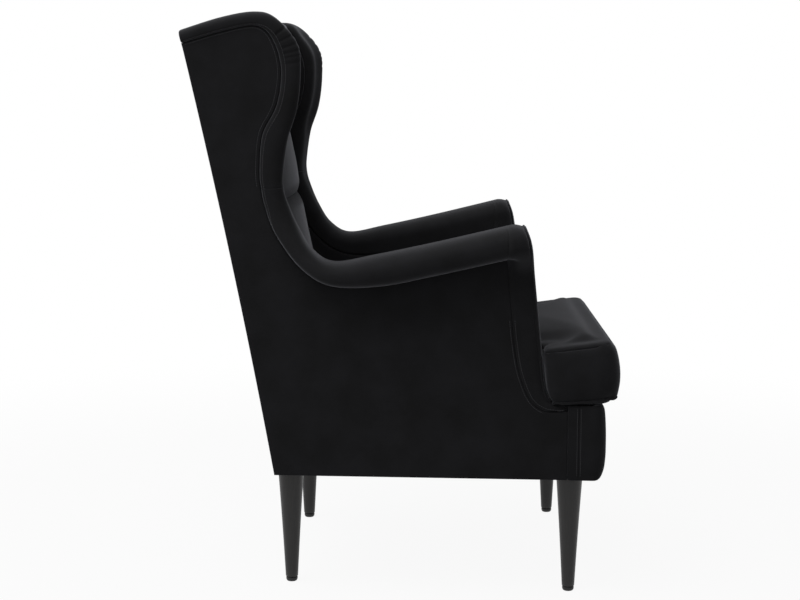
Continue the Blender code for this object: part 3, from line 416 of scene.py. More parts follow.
def new_panel(outline, rim, cell):
    """A flat panel in X and Y with a rounded rim that rises in Z, cut into cells so that it can be bent."""
    shape = bmesh.new()
    bmesh.ops.create_circle(shape, cap_ends=True, segments=len(outline), radius=1)
    shape.verts.ensure_lookup_table()
    for vertex, (across, up) in zip(shape.verts[:], outline):
        vertex.co = (across, up, 0)
    shape.normal_update()
    face = shape.faces[:][0]
    if face.normal.z < 0:
        bmesh.ops.reverse_faces(shape, faces=[face])
    for step, rise in rim:
        face = max(shape.faces, key=lambda item: len(item.verts))
        bmesh.ops.inset_individual(shape, faces=[face], thickness=step, depth=rise, use_even_offset=True)
        face = max(shape.faces, key=lambda item: len(item.verts))
        bmesh.ops.remove_doubles(shape, verts=face.verts[:], dist=0.9 * MM)
    for axis in (0, 1):
        low = min(point[axis] for point in outline)
        high = max(point[axis] for point in outline)
        for cut in steps(low, high, round((high - low) / cell))[1:]:
            spot = [0, 0, 0]
            way = [0, 0, 0]
            spot[axis] = cut
            way[axis] = 1
            middle = [face for face in shape.faces if len(face.verts) > 4]
            around = {edge for face in middle for edge in face.edges}
            points = {vertex for face in middle for vertex in face.verts}
            bmesh.ops.bisect_plane(shape, geom=[*middle, *around, *points], dist=0.05 * MM,
                                   plane_co=spot, plane_no=way)
    return shape


def grown_from(shape, keep=False):
    """Extrude all faces, and return the new vertices."""
    grown = bmesh.ops.extrude_face_region(shape, geom=shape.faces[:], use_keep_orig=keep)
    return [item for item in grown["geom"] if isinstance(item, bmesh.types.BMVert)]


def thicken(shape, depth):
    """Give an open panel that faces +Z a back at Z = -depth."""
    for vertex in grown_from(shape, True):
        vertex.co.z = -depth
    bmesh.ops.recalc_face_normals(shape, faces=shape.faces)


def colour(code):
    """An sRGB hex value as linear red, green, blue and alpha."""
    parts = [int(code[k:k + 2], 16) / 255 for k in (1, 3, 5)]
    return (*[part / 12.92 if part <= 0.04045 else ((part + 0.055) / 1.055) ** 2.4 for part in parts], 1)


def add(tree, kind, links=None, stops=(), **settings):
    """Add a node, set its settings, and set or link its inputs, which are named by name or number. A colour
    ramp gets its stops as (position, hex)."""
    node = tree.nodes.new("ShaderNode" + kind)
    for name, value in settings.items():
        setattr(node, name, value)
    for index, (position, code) in enumerate(stops):
        elements = node.color_ramp.elements
        element = elements[index] if index < len(elements) else elements.new(position)
        element.position = position
        element.color = colour(code)
    for socket, value in (links or {}).items():
        if isinstance(value, bpy.types.NodeSocket):
            tree.links.new(value, node.inputs[socket])
        else:
            node.inputs[socket].default_value = value
    return node


def new_finish(name, patterns, stops, speckle=None, flecks=None, gloss=None, relief=None, lean=None,
               **values):
    """A material, whose Principled shader's own sockets take the given values.

    patterns are one or two textures as (kind, size, inputs, direction of its bands if any). The size is that
    of a cell or band in millimetres, one for all axes or one for each. The first pattern gives the colour,
    through its stops. The last darkens and lightens it within the speckle, or lays flecks over it, and gives
    the gloss and the relief, as (depth, strength). lean is a relief of the first. Two waves are woven."""
    material = bpy.data.materials.new(name)
    material.use_nodes = True
    tree = material.node_tree
    shader = tree.nodes["Principled BSDF"]
    for socket, value in values.items():
        shader.inputs[socket.replace("_", " ")].default_value = value
    place = add(tree, "TexCoord").outputs["Object"]
    factors = []
    for kind, size, inputs, *direction in patterns:
        if isinstance(size, tuple):
            cells = [1 / (part * MM) for part in size]
            spot, scale = add(tree, "Mapping", {"Vector": place, "Scale": cells}).outputs["Vector"], 1.0
        else:
            spot, scale = place, (WAVE_BAND if kind == "Wave" else 1) / (size * MM)
        settings = {"bands_direction": direction[0]} if direction else {}
        texture = add(tree, "Tex" + kind, {"Vector": spot, "Scale": scale, **inputs}, **settings)
        factors.append(texture.outputs["Distance" if kind == "Voronoi" else "Fac"])
    if [kind for kind, *_ in patterns] == ["Wave", "Wave"]:
        woven = add(tree, "Math", dict(enumerate(factors)), operation="MULTIPLY")
        factors = [woven.outputs[0]]
    first, last = factors[0], factors[-1]

    shade = add(tree, "ValToRGB", {"Fac": first}, stops).outputs["Color"]
    over = None
    if speckle:
        amount = add(tree, "MapRange", {"Value": last, "To Min": speckle[0], "To Max": speckle[1]})
        strength, over = 1.0, amount.outputs["Result"]
    if flecks:
        strength, over = flecks[0], add(tree, "ValToRGB", {"Fac": last}, flecks[1:]).outputs["Color"]
    if over:
        shade = add(tree, "Mix", {"Factor": strength, 6: shade, 7: over},
                    data_type="RGBA", blend_type="MULTIPLY").outputs[2]
    tree.links.new(shade, shader.inputs["Base Color"])
    if gloss:
        rough = add(tree, "MapRange", {"Value": last, "To Min": gloss[0], "To Max": gloss[1]})
        tree.links.new(rough.outputs["Result"], shader.inputs["Roughness"])
    below = {}
    for height, form in ((last, relief), (first, lean)):
        if form:
            bump = add(tree, "Bump", {"Height": height, "Strength": form[1], "Distance": form[0], **below})
            below = {"Normal": bump.outputs["Normal"]}
            tree.links.new(bump.outputs["Normal"], shader.inputs["Normal"])
    return material


# Cut-pile polyester velvet, dyed black. Short upright pile: dark face on, with a soft cool sheen where it
# is seen along the surface, and faint patches where the pile leans another way. Tufts of pile are about
# 0.4 mm across, and are drawn at 1.3 mm so that they show.
black_velvet = new_finish(
    "cut_pile_velvet", [("Noise", 60, {"Detail": 3.0, "Roughness": 0.55}),
                        ("Noise", 1.3, {"Detail": 2.0, "Roughness": 0.6})],
    [(0.30, "#161617"), (0.70, "#1c1c1e")], speckle=(0.80, 1.20), relief=(0.5 * MM, 0.35),
    lean=(3 * MM, 0.15), Roughness=0.95, Specular_IOR_Level=0.12, Sheen_Weight=0.28, Sheen_Roughness=0.34,
    Sheen_Tint=colour("#e4e6ef"))

# Turned beech, stained black under a thin satin lacquer. The grain runs along the leg, and its fine pores
# show through the lacquer.
black_legs = new_finish(
    "stained_beech_lacquered", [("Noise", (2.2, 2.2, 60), {"Detail": 4.0, "Roughness": 0.6}),
                                ("Noise", (0.35, 0.35, 5), {"Detail": 2.0})],
    [(0.32, "#131212"), (0.68, "#1f1e1d")], speckle=(0.85, 1.12), gloss=(0.36, 0.52),
    relief=(0.05 * MM, 0.5), Specular_IOR_Level=0.36, Coat_Weight=0.08, Coat_Roughness=0.25)

# Steamed beech, planed and left bare, with short darker ray flecks
beech = new_finish(
    "planed_beech", [("Noise", (40, 9, 9), {"Detail": 4.0, "Distortion": 0.4}),
                     ("Voronoi", (5, 1.1, 1.1), {})],
    [(0.30, "#b48a60"), (0.55, "#c89f73"), (0.75, "#d4ae84")],
    flecks=[0.6, (0.06, "#a4774c"), (0.16, "#ffffff")], relief=(0.06 * MM, 0.4),
    Roughness=0.62, Specular_IOR_Level=0.35)

# Birch plywood of 12 mm. Its veneers of 1.4 mm show as pale and brown lines on the edges.
plywood = new_finish(
    "birch_plywood", [("Wave", 2.8, {"Distortion": 0.6, "Detail": 2.0, "Detail Scale": 40.0}, "X"),
                      ("Noise", (8, 1.2, 30), {"Detail": 3.0})],
    [(0.25, "#a9825a"), (0.5, "#d3b88e"), (0.8, "#dcc6a0")], speckle=(0.86, 1.06), relief=(0.08 * MM, 0.5),
    Roughness=0.6, Specular_IOR_Level=0.35)

# Woven elastic webbing: rubber cores wrapped in jute-coloured yarn
webbing = new_finish(
    "elastic_webbing", [("Wave", 2.2, {}, "Z"), ("Wave", 1.5, {}, "X")],
    [(0.0, "#5d4c36"), (0.5, "#8a7657"), (1.0, "#a8946f")], relief=(0.35 * MM, 0.8),
    Roughness=0.85, Specular_IOR_Level=0.25)

# Cut polyurethane foam with open cells of about 0.9 mm, cream, slightly yellowed in places
foam = new_finish(
    "polyurethane_foam", [("Noise", 90, {"Detail": 2.0}), ("Voronoi", 0.9, {})],
    [(0.35, "#e0d2a8"), (0.65, "#ebe2c6")], speckle=(0.82, 1.08), relief=(0.4 * MM, 0.7),
    Roughness=0.95, Specular_IOR_Level=0.15)

# Bright zinc plating on turned steel, with faint turning marks
zinc = new_finish(
    "zinc_plated_steel", [("Noise", (3, 3, 0.25), {"Detail": 2.0})], [(0.3, "#a3a6a8"), (0.7, "#c2c4c5")],
    gloss=(0.24, 0.42), relief=(0.02 * MM, 0.4), Metallic=1.0)

# Oil-tempered spring wire, grey-blue with darker scale in patches
wire = new_finish("spring_wire", [("Noise", 6, {"Detail": 4.0})], [(0.35, "#55585e"), (0.65, "#7d8187")],
                  gloss=(0.34, 0.5), Metallic=0.9)

# Black spunbond lining cloth with its grid of small pressed dots, 1.6 mm apart
lining = new_finish(
    "spunbond_lining", [("Noise", 2.5, {"Detail": 5.0, "Roughness": 0.7}),
                        ("Voronoi", (1.6, 1.6, 40), {"Randomness": 0.0})],
    [(0.35, "#151515"), (0.65, "#222222")], speckle=(0.7, 1.3), relief=(0.15 * MM, 0.6),
    Roughness=0.85, Specular_IOR_Level=0.3)

# Black moulded nylon of the glides, with a fine sparked grain
nylon = new_finish(
    "moulded_nylon", [("Noise", 0.5, {"Detail": 2.0})], [(0.3, "#101010"), (0.7, "#191919")],
    gloss=(0.42, 0.6), relief=(0.04 * MM, 0.5), Specular_IOR_Level=0.45)

# Twisted polyester thread, dyed to the velvet. Its colour is painted lighter than the velvet's, a painted
# highlight for the light lines that the puckered cover catches along the rows of stitches.
thread = new_finish(
    "polyester_thread_painted_lighter", [("Noise", 0.4, {"Detail": 1.0})], [(0.3, "#232327"), (0.7, "#3a3a3f")],
    relief=(0.1 * MM, 0.5), Roughness=0.42, Specular_IOR_Level=0.5, Sheen_Weight=0.3, Sheen_Roughness=0.3)

# Black herringbone tape of the zip, and its nylon teeth
zip_tape = new_finish(
    "zip_tape_and_coil", [("Wave", 0.7, {}, "DIAGONAL")], [(0.2, "#111112"), (0.8, "#202022")],
    relief=(0.1 * MM, 0.5), Roughness=0.6, Specular_IOR_Level=0.4)

# Black nickel on the zip's die-cast slider, rubbed brighter in places
slider_metal = new_finish("black_nickel", [("Noise", 4, {"Detail": 3.0})],
                          [(0.4, "#4b4b4e"), (0.7, "#7c7c80")], gloss=(0.22, 0.38), Metallic=1.0)


def border_section(height, overhang, shoulder):
    """Section of the padded border as (inset, rise), where the border is as high as said: up the inner
    side, over the top, down to the outer seam, and back underneath."""
    middle = (SIDE_THICKNESS - overhang) / 2
    reach = (SIDE_THICKNESS + overhang) / 2
    section = []
    for share in steps(0, 1, 7):
        rise = shoulder * share ** 1.6
        section.append((SIDE_THICKNESS - seam_dip(rise * height), rise))
    for angle in steps(0, pi, 32, 1):
        section.append((middle + reach * full(cos(angle)), shoulder + (1 - shoulder) * full(sin(angle))))
    for angle in steps(0, pi / 2, 12, 1)[1:]:
        rise = shoulder * (1 - full(sin(angle)))
        section.append((-overhang * full(cos(angle)) + seam_dip(rise * height), rise))
    for share in (0.3, 0.7, 1.0):
        section.append((SEAM_DEPTH + share * (SIDE_THICKNESS - 2 * SEAM_DEPTH), 0))
    return section


def border_at(position):
    """The border at a station: its four numbers, and its section there."""
    seam_y, seam_h, crest_y, crest_h = blend_between(BORDER, position)
    grown = ease(position, WAIST + 1, ARM_START + 1)
    overhang = WING_PROUD + grown * (ARM_OVERHANG - WING_PROUD)
    shoulder = WING_SHOULDER + grown * (ARM_SHOULDER - WING_SHOULDER)
    height = hypot(crest_y - seam_y, crest_h - seam_h)
    # It turns in from the wing's top corner, less from the wing's hollow down, and no more past the waist
    inwards = WING_TURNED_IN * ease(position, 2.2, 3.4) * (1 - 0.6 * ease(position, 6, 7.5))
    inwards *= 1 - ease(position, 9.5, 11.5)
    section = [(inset, rise * (1 - inwards * ease(inset, 0, 45 * MM)))
               for inset, rise in border_section(height, overhang, shoulder)]
    return (seam_y, seam_h, crest_y, crest_h), section


def rounded_end(radius):
    """Columns from a border's end inwards, as (distance from the end, share of the section's size)."""
    half = SIDE_THICKNESS / 2
    return [(0, size) for size in (0, 0.35, 0.7)] + [
        (radius * (1 - cos(angle)), 1 - radius / half * (1 - sin(angle))) for angle in steps(0, pi / 2, 5)]


def make_border(name, side, first, last, nodes, radii, gathers=(), spacing=3 * MM):
    """One length of the padded border, with its two ends rounded."""
    walk = even_positions(BORDER, first, last, spacing)
    length = walk[-1][1]
    columns = rounded_end(radii[0])
    columns += [(walked, 1) for _, walked in walk if radii[0] <= walked <= length - radii[1]]
    columns += [(length - distance, size) for distance, size in reversed(rounded_end(radii[1]))]
    sections = [border_at(value_at(walk, 1, 0, walked)) for walked, _ in columns]
    rows = len(sections[0][1]) + 1
    folds = [(value_at(walk, 0, 1, station), depth, width) for station, depth, width in gathers]

    def place(i, j):
        size = columns[i][1]
        (seam_y, seam_h, crest_y, crest_h), section = sections[i]
        inset, rise = section[j % (rows - 1)]
        inset = SIDE_THICKNESS / 2 + (inset - SIDE_THICKNESS / 2) * size
        rise = SECTION_MIDDLE + (rise - SECTION_MIDDLE) * size
        return at(side, inset, seam_y + rise * (crest_y - seam_y), seam_h + rise * (crest_h - seam_h))

    def relief(i, j):
        walked, size = columns[i]
        inset, rise = sections[i][1][j % (rows - 1)]
        pulled = sum(depth * exp(-((walked - spot) / width) ** 2) for spot, depth, width in folds)
        return -pulled * ease(rise, 0.05, 0.35) * (1 - ease(inset, 4 * MM, 20 * MM)) * size

    new_piece(name, new_skin(len(columns), rows, place, relief), black_velvet, nodes)


def make_borders():
    """Padded borders of the wings, and the arms' rolls that continue them."""
    for word, side in SIDES.items():
        make_border(f"wing_border_cover_{word}", side, 0, WAIST, [f"wing_border_{word}"], (4 * MM, 0.5 * MM),
                    GATHERS, 1.6 * MM)
        make_border(f"arm_roll_cover_{word}", side, WAIST + 0.01, BORDER_END, [f"arm_roll_{word}"],
                    (0.5 * MM, 0.15 * MM))


def make_seam_allowances():
    """Strips of velvet behind the outer seams, as the sewn-in edges of the covers are."""
    border = seam_line(0.05, BORDER_END, 0, 6 * MM)
    foot = [(BORDER_SEAM_Y, BODY_FOOT + 3 * MM + 10 * MM * step) for step in range(13)]
    for word, side in SIDES.items():
        for name, line in (("border", border), ("arm_front", ARM_SEAM_LINE), ("front_border", foot)):
            points = [at(side, ALLOWANCE_INSET, y, height) for y, height in line]
            new_piece(f"{name}_seam_allowance_{word}", new_cord(points, 1.7 * MM, sides=6), black_velvet)


def seam_line(first, last, drop, spacing=5 * MM):
    """The border's seam as (y, height), moved away from the border."""
    line = []
    for place, _ in even_positions(BORDER, first, last, spacing):
        seam_y, seam_h, crest_y, crest_h = blend_between(BORDER, place)
        length = hypot(crest_y - seam_y, crest_h - seam_h)
        line.append((seam_y - drop * (crest_y - seam_y) / length,
                     seam_h - drop * (crest_h - seam_h) / length))
    return line


def arm_seam(lowest=0.0):
    """The seam at the arm's front as (y, height), from the top down, moved to the rear."""
    return [(y + GAP, height) for y, height in smooth_line(ARM_FRONT_SEAM, 5 * MM)[1:] if height > lowest]


def lay_panel(shape, side, outer):
    """Bend a flat panel of (y, height, rise) on to the chair's side. Its outside is at the given inset."""
    for vertex in shape.verts:
        y, height, rise = vertex.co
        if rise >= 0:
            # The cover lies flat beside the arm front's seam, outside only beside its upper part
            flat = ease(-y, 0.165, 0.178) * (ease(height, 0.24, 0.31) if outer == 0 else 1)
            rise += RIM_FLATTENED * (RIM_RISE - rise) * flat
        vertex.co = at(side, outer - (rise - RIM_RISE) * (1 if outer == 0 else -1), y, height)
    bmesh.ops.recalc_face_normals(shape, faces=shape.faces)


def make_outer_sides():
    """Velvet over lining board on the sides."""
    seam = seam_line(0, BORDER_END, GAP)
    front = [(y, height - GAP) for y, height in arm_seam()]
    edge = BORDER_SEAM_Y + GAP
    rear = [(rear_y(height), height) for height in steps(BODY_FOOT, seam[0][1], 60)]
    foot = [(edge, height) for height in reversed(steps(BODY_FOOT, front[-1][1], 12, 1)[1:])]
    underside = [(y, BODY_FOOT) for y in steps(edge, rear_y(BODY_FOOT), 50)]
    outline = rear + seam + front[:-1] + foot + underside
    for word, side in SIDES.items():
        shape = new_panel(outline, RIM, 60 * MM)
        thicken(shape, SHELL_THICKNESS - RIM_RISE)
        lay_panel(shape, side, 0)
        new_piece(f"outer_side_cover_{word}", shape, black_velvet, [f"outer_side_{word}"])


def wing_pad_outline(bottom):
    """Outline between the wing border's seam and the pads' rear, closed along a level at the bottom."""
    line = seam_line(0, INNER_SPLIT, GAP)
    start = next(index for index, (y, height) in enumerate(line) if y < pad_rear_y(height))
    seam = [point for point in line[start:] if point[1] > bottom]
    top = seam[0][1]
    levels = steps(bottom, top, round((top - bottom) / (6 * MM)))
    behind = [(pad_rear_y(height), height) for height in levels]
    across = round((behind[0][0] - seam[-1][0]) / (6 * MM))
    return behind + seam + [(y, bottom) for y in steps(seam[-1][0], behind[0][0], across)]


def make_inner_pads():
    """Flat pads inside the wings and the arms."""
    split = blend_between(BORDER, INNER_SPLIT)[1] - GAP
    wing = wing_pad_outline(split - 2 * GAP)
    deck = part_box("seat_deck")[0].z - LEG_HEIGHT
    low = split - 3 * GAP
    seam = [point for point in seam_line(INNER_SPLIT, BORDER_END, GAP) if point[1] < low or point[0] < 0]
    front = arm_seam(ARM_POST_FOOT)
    foot_y = front[-1][0]
    rear = [(pad_rear_y(height), height) for height in steps(deck, low, round((low - deck) / (6 * MM)), 1)]
    floor = [(y, deck) for y in steps(foot_y, rear[0][0], 60)]
    arm = rear + seam + front + [(foot_y, deck + 8 * MM)] + floor
    for word, side in SIDES.items():
        for name, outline, outer in (("wing_inner_pad", wing, BOARD_INSET),
                                     ("arm_inner_pad", arm, ARM_PAD_INSET)):
            shape = new_panel(outline, RIM, 20 * MM)
            thicken(shape, SIDE_THICKNESS - outer - RIM_RISE)
            lay_panel(shape, side, SIDE_THICKNESS)
            new_piece(f"{name}_cover_{word}", shape, black_velvet, [f"{name}_{word}"])


ARM_SEAM_LINE = smooth_line(ARM_FRONT_SEAM, 3 * MM)
ARM_FACE_LINE = smooth_line(ARM_FRONT_FACE, 3 * MM)
SEAM_END_HEIGHT, ROLL_TOP = BORDER[-1][1], BORDER[-1][3]


def roll_share(rise):
    """Share of the roll's half width at a share of its half height, as in its section."""
    return max(0, 1 - rise ** (2 / ROLL_FULLNESS)) ** (ROLL_FULLNESS / 2)


def arm_front_limits(height):
    """Rear, front, inner and outer limits of the arm's front at a height."""
    rear = value_at(ARM_SEAM_LINE, 1, 0, height) - GAP / 3
    front = value_at(ARM_FACE_LINE, 1, 0, height)
    rise = (height - SEAM_END_HEIGHT) / (ROLL_TOP - SEAM_END_HEIGHT)
    middle = (SIDE_THICKNESS - ARM_OVERHANG) / 2
    reach = (SIDE_THICKNESS + ARM_OVERHANG) / 2
    if rise <= 0:
        return rear, front, SIDE_THICKNESS, 0
    if rise < ARM_SHOULDER:
        return rear, front, SIDE_THICKNESS, -ARM_OVERHANG * roll_share(1 - rise / ARM_SHOULDER)
    share = roll_share((rise - ARM_SHOULDER) / (1 - ARM_SHOULDER))
    return rear, front, middle + reach * share, middle - reach * share


def arm_front_point(side, height, angle, proud=0.0):
    """A point on the arm's rounded front. The angle runs from the inner side to the outer side."""
    rear, front, inner, outer = arm_front_limits(height)
    across = full(cos(angle), ARM_FRONT_SQUARENESS)
    out = full(sin(angle), ARM_FRONT_SQUARENESS)
    # The roll's underside softens towards the front, where its cover is drawn down
    softer = -ARM_OVERHANG * (1 - ease(ROLL_WIDEST - height, 0, ROLL_DRAWN_DOWN))
    if height < ROLL_WIDEST and angle > pi / 2:
        outer += (softer - outer) * ease(out, 0.02, 0.45)
    inset = (inner + outer) / 2 + ((inner - outer) / 2 + proud) * across
    return at(side, inset, rear + (front - proud - rear) * out, height)


def make_arm_fronts():
    """The padded front of each arm, with the roll's shape on top and a welt round its facing."""
    roll = ROLL_TOP - SEAM_END_HEIGHT
    levels = steps(ARM_FRONT_FOOT, SEAM_END_HEIGHT, 70)
    levels += [SEAM_END_HEIGHT + roll * (1 - (1 - share) ** 1.8) for share in steps(0, 1, 34)]
    levels += [SEAM_END_HEIGHT + roll * 0.9995]
    arc = 44
    depth, width = FACING_WELT_SUNK
    columns = [levels[0]] * 3 + levels + [levels[-1]]
    sizes = [0, 0.4, 0.8] + [1] * len(levels) + [0]

    for word, side in SIDES.items():
        def place(i, j):
            height, size = columns[i], sizes[i]
            if j <= arc:
                point = arm_front_point(side, height, pi * j / arc)
            else:
                share = (j - arc) / 4
                point = arm_front_point(side, height, pi).lerp(arm_front_point(side, height, 0), share)
            rear, front, inner, outer = arm_front_limits(height)
            centre = at(side, (inner + outer) / 2, rear + (front - rear) * 0.4, height)
            point = centre.lerp(point, size)
            along = min(max((point.y - rear) / (front - rear), 0) / 0.8, 1)
            point.z += ROLL_END_PUFF * sin(pi * along) * ease(height, SEAM_END_HEIGHT + 0.5 * roll, ROLL_TOP)
            return point

        def relief(i, j):
            if j > arc:
                return 0
            angle = pi * j / arc
            near = min(abs(angle - FACING_WELT_ANGLE), abs(angle - (pi - FACING_WELT_ANGLE)))
            sunk = depth * exp(-(near / width) ** 2)
            return -sunk * ease(angle, 0, 0.3) * ease(pi - angle, 0, 0.3)

        shape = new_skin(len(columns), arc + 5, place, relief)
        new_piece(f"arm_front_cover_{word}", shape, black_velvet, [f"arm_front_pad_{word}"])
        outer_run, inner_run = [[arm_front_point(side, height, angle, 0.4 * MM) for height in levels]
                                for angle in (pi - FACING_WELT_ANGLE, FACING_WELT_ANGLE)]
        line = outer_run + inner_run[-2::-1]
        new_piece(f"arm_front_welt_{word}", new_cord(line, 2.0 * MM), black_velvet)


def new_cord(points, radius, closed=False, sides=10):
    """A round welt that follows the points."""
    count = len(points)
    ways = []
    for index in range(count):
        after = points[(index + 1) % count] if closed else points[min(index + 1, count - 1)]
        before = points[index - 1] if closed or index else points[0]
        ways.append((after - before).normalized())
    across = ways[0].orthogonal().normalized()
    frames = []
    for way in ways:
        across = (across - way * across.dot(way)).normalized()
        frames.append((across, way.cross(across)))
    columns = count + (1 if closed else 2)

    def place(i, j):
        angle = 2 * pi * j / sides
        if closed:
            index, size = i % count, 1
        else:
            index, size = min(max(i - 1, 0), count - 1), (0 if i in (0, columns - 1) else 1)
        one, other = frames[index]
        return points[index] + (one * cos(angle) + other * sin(angle)) * radius * size

    return new_skin(columns, sides + 1, place)


def mirrored(half):
    """An outline's points on the other side of the middle plane, in the order that closes it."""
    return [(-x, y) for x, y in reversed(half)]


def middle_of(box):
    """The middle of a box, seen from above."""
    low, high = box
    return (low.x + high.x) / 2, (low.y + high.y) / 2


def make_front_border():
    """Padding round the seat's front, with a short return on each side."""
    inner_y = FRONT_FACE_Y + BORDER_PADDING
    corner_y = FRONT_FACE_Y + BORDER_CORNER
    side_x = half_width(corner_y, 0)
    corner_x = side_x - BORDER_CORNER
    start_x = half_width(BORDER_SEAM_Y, 0)
    length = BORDER_SEAM_Y - corner_y
    marks = [0, 0, 0, 0.3 * MM, 0.8 * MM, 1.6 * MM, 3 * MM, 7 * MM, 12 * MM]
    marks += [SIDE_JOIN + step * MM for step in (-3.5, -2, -1.2, -0.5, 0, 0.5, 1.2, 2, 3.5)]
    marks += [27 * MM, 32 * MM, 38 * MM, length]
    path = [(start_x + distance / length * (side_x - start_x), BORDER_SEAM_Y - distance)
            for distance in marks]
    path += [(corner_x + BORDER_CORNER * cos(angle), corner_y - BORDER_CORNER * sin(angle))
             for angle in steps(0, pi / 2, 12, 1)[1:]]
    path += [(corner_x * (1 - share), FRONT_FACE_Y) for share in steps(0, 1, 40)[1:]]
    path += [(0, FRONT_FACE_Y)] + mirrored(path)
    ends = [0, 0.5, 0.85, 0.93, 0.97, 0.99]
    sizes = ends + [1] * (len(path) - 2 * len(ends)) + ends[::-1]
    profile = smooth_line([(height, share * BORDER_PADDING) for height, share in BORDER_SECTION], 3 * MM)

    def place(i, j):
        x, y = path[i]
        height, reach = profile[j % len(profile)]
        height = BORDER_MIDDLE + (height - BORDER_MIDDLE) * sizes[i]
        share = 0.5 + (reach / BORDER_PADDING - 0.5) * sizes[i]
        inner_x = half_width(max(y, inner_y), 0) - SHELL_THICKNESS
        inner = Vector((max(-inner_x, min(x, inner_x)), max(y, inner_y), 0))
        point = inner + (Vector((x, y, 0)) - inner) * share
        if abs(x) > corner_x:
            joined = seam_dip(abs(BORDER_SEAM_Y - SIDE_JOIN - y), 1.3 * MM, 2.2 * MM) * ease(share, 0.2, 0.8)
            point.x -= joined * (1 if x > 0 else -1)
        return Vector((point.x * (1 + SIDE_LEAN * height / side_x), point.y, LEG_HEIGHT + height))

    new_piece("front_border_cover", new_skin(len(path), len(profile) + 1, place), black_velvet,
              ["front_border"])


def new_stitches(name, rows):
    """Rows of stitches. A row is a list of (place, way outwards), and its stitches follow it."""
    whole = bmesh.new()
    size = Matrix.Diagonal((STITCH_THICKNESS / 2, STITCH_THICKNESS / 2, STITCH_LENGTH / 2, 1))
    for row in rows:
        walked = 0
        wanted = STITCH_PITCH / 2
        for (start, outwards), (end, _) in zip(row, row[1:]):
            few = bmesh.new()
            length = (end - start).length
            along = (end - start).normalized()
            away = (outwards - along * outwards.dot(along)).normalized()
            turn = Matrix((along.cross(away), away, along)).transposed().to_4x4()
            while wanted <= walked + length:
                spot = start.lerp(end, (wanted - walked) / length)
                bmesh.ops.create_uvsphere(few, u_segments=6, v_segments=4, radius=1,
                                          matrix=Matrix.Translation(spot) @ turn @ size)
                wanted += STITCH_PITCH
            walked += length
            part = bpy.data.meshes.new("stitches")
            few.to_mesh(part)
            few.free()
            whole.from_mesh(part)
            bpy.data.meshes.remove(part)
    new_piece(name, whole, thread)


def border_spot(side, position, distance):
    """A point of the border's cover at a distance from its outer seam, and the way outwards."""
    (seam_y, seam_h, crest_y, crest_h), section = border_at(position)
    height = hypot(crest_y - seam_y, crest_h - seam_h)
    up = Vector((0, (crest_y - seam_y) / height, (crest_h - seam_h) / height))
    line = [(inset, rise * height) for inset, rise in reversed(section[OUTER_FACE])]
    walked = 0
    for (near_in, near_up), (far_in, far_up) in zip(line, line[1:]):
        length = hypot(far_in - near_in, far_up - near_up)
        if walked + length >= distance:
            break
        walked += length
    share = (distance - walked) / length
    inset = near_in + share * (far_in - near_in)
    rise = near_up + share * (far_up - near_up)
    point = at(side, inset, seam_y + up.y * rise, seam_h + up.z * rise)
    outwards = Vector((side * (far_up - near_up), 0, 0)) + up * (far_in - near_in)
    return point, outwards.normalized()


def beside_line(line, distance):
    """A line of (y, height) moved sideways, to its left as it runs."""
    moved = []
    for index, (y, height) in enumerate(line):
        before = line[max(index - 1, 0)]
        after = line[min(index + 1, len(line) - 1)]
        along = Vector((after[0] - before[0], after[1] - before[1])).normalized()
        moved.append((y - along.y * distance, height + along.x * distance))
    return moved


def arm_front_side(side, y, height):
    """A point on the outer face of the arm's front, seen from the side."""
    rear, front, inner, outer = arm_front_limits(height)
    out = min(max((y - rear) / (front - rear), 0), 0.99)
    across = full(cos(pi - full(out, 1 / ARM_FRONT_SQUARENESS) * pi / 2), ARM_FRONT_SQUARENESS)
    return at(side, (inner + outer) / 2 + (inner - outer) / 2 * across, y, height)


def make_topstitching():
    """Rows of topstitching beside the outer seams of the wings and arm fronts, and of the front border."""
    side_x = half_width(FRONT_FACE_Y + BORDER_CORNER, 0)
    for word, side in SIDES.items():
        sideways = Vector((side, 0, 0))
        on_border = []
        for place, _ in even_positions(BORDER, 0.12, WAIST + 2.2, 6 * MM):
            wider = 6 * MM * ease(place, 2, 3.6) * (1 - 0.5 * ease(place, 6, 8))
            point, outwards = border_spot(side, place, SEAM_DEPTH + TOPSTITCH_OFFSET + wider)
            on_border.append((point - outwards * STITCH_SUNK, outwards))
        below_border = []
        for place, _ in even_positions(BORDER, 0.12, WAIST - 0.1, 6 * MM):
            seam_y, seam_h, crest_y, crest_h = blend_between(BORDER, place)
            way = Vector((seam_y - crest_y, seam_h - crest_h)).normalized()
            reach = TOPSTITCH_OFFSET + 2.4 * MM * ease(place, 2.4, 6)
            point = at(side, STITCH_SUNK, seam_y + way.x * reach, seam_h + way.y * reach)
            below_border.append((point, sideways))
        rows = [on_border, below_border]
        seam = [(y, height) for y, height in ARM_SEAM_LINE if height < ARM_ROWS_TOP]
        for distance in (-TOPSTITCH_OFFSET, TOPSTITCH_OFFSET):
            row = []
            for y, height in beside_line(seam, distance):
                if y > BORDER_SEAM_Y + 4 * MM:
                    point = arm_front_side(side, y, height) if distance > 0 else at(side, 0, y, height)
                    row.append((point - sideways * STITCH_SUNK, sideways))
            rows.append(row)
        for distance in (-SIDE_JOIN_ROWS, SIDE_JOIN_ROWS):
            y = BORDER_SEAM_Y - SIDE_JOIN - distance
            row = []
            for rise in steps(0, SIDE_JOIN_SPAN[1], 19, 1):
                height = SIDE_JOIN_SPAN[0] + rise
                share = value_at(BORDER_SECTION, 0, 1, height)
                x = half_width(y, 0) - SHELL_THICKNESS * (1 - share)
                x *= 1 + SIDE_LEAN * height / side_x
                row.append((Vector((side * (x - STITCH_SUNK), y, LEG_HEIGHT + height)), sideways))
            rows.append(row)
        new_stitches(f"topstitching_{word}", rows)


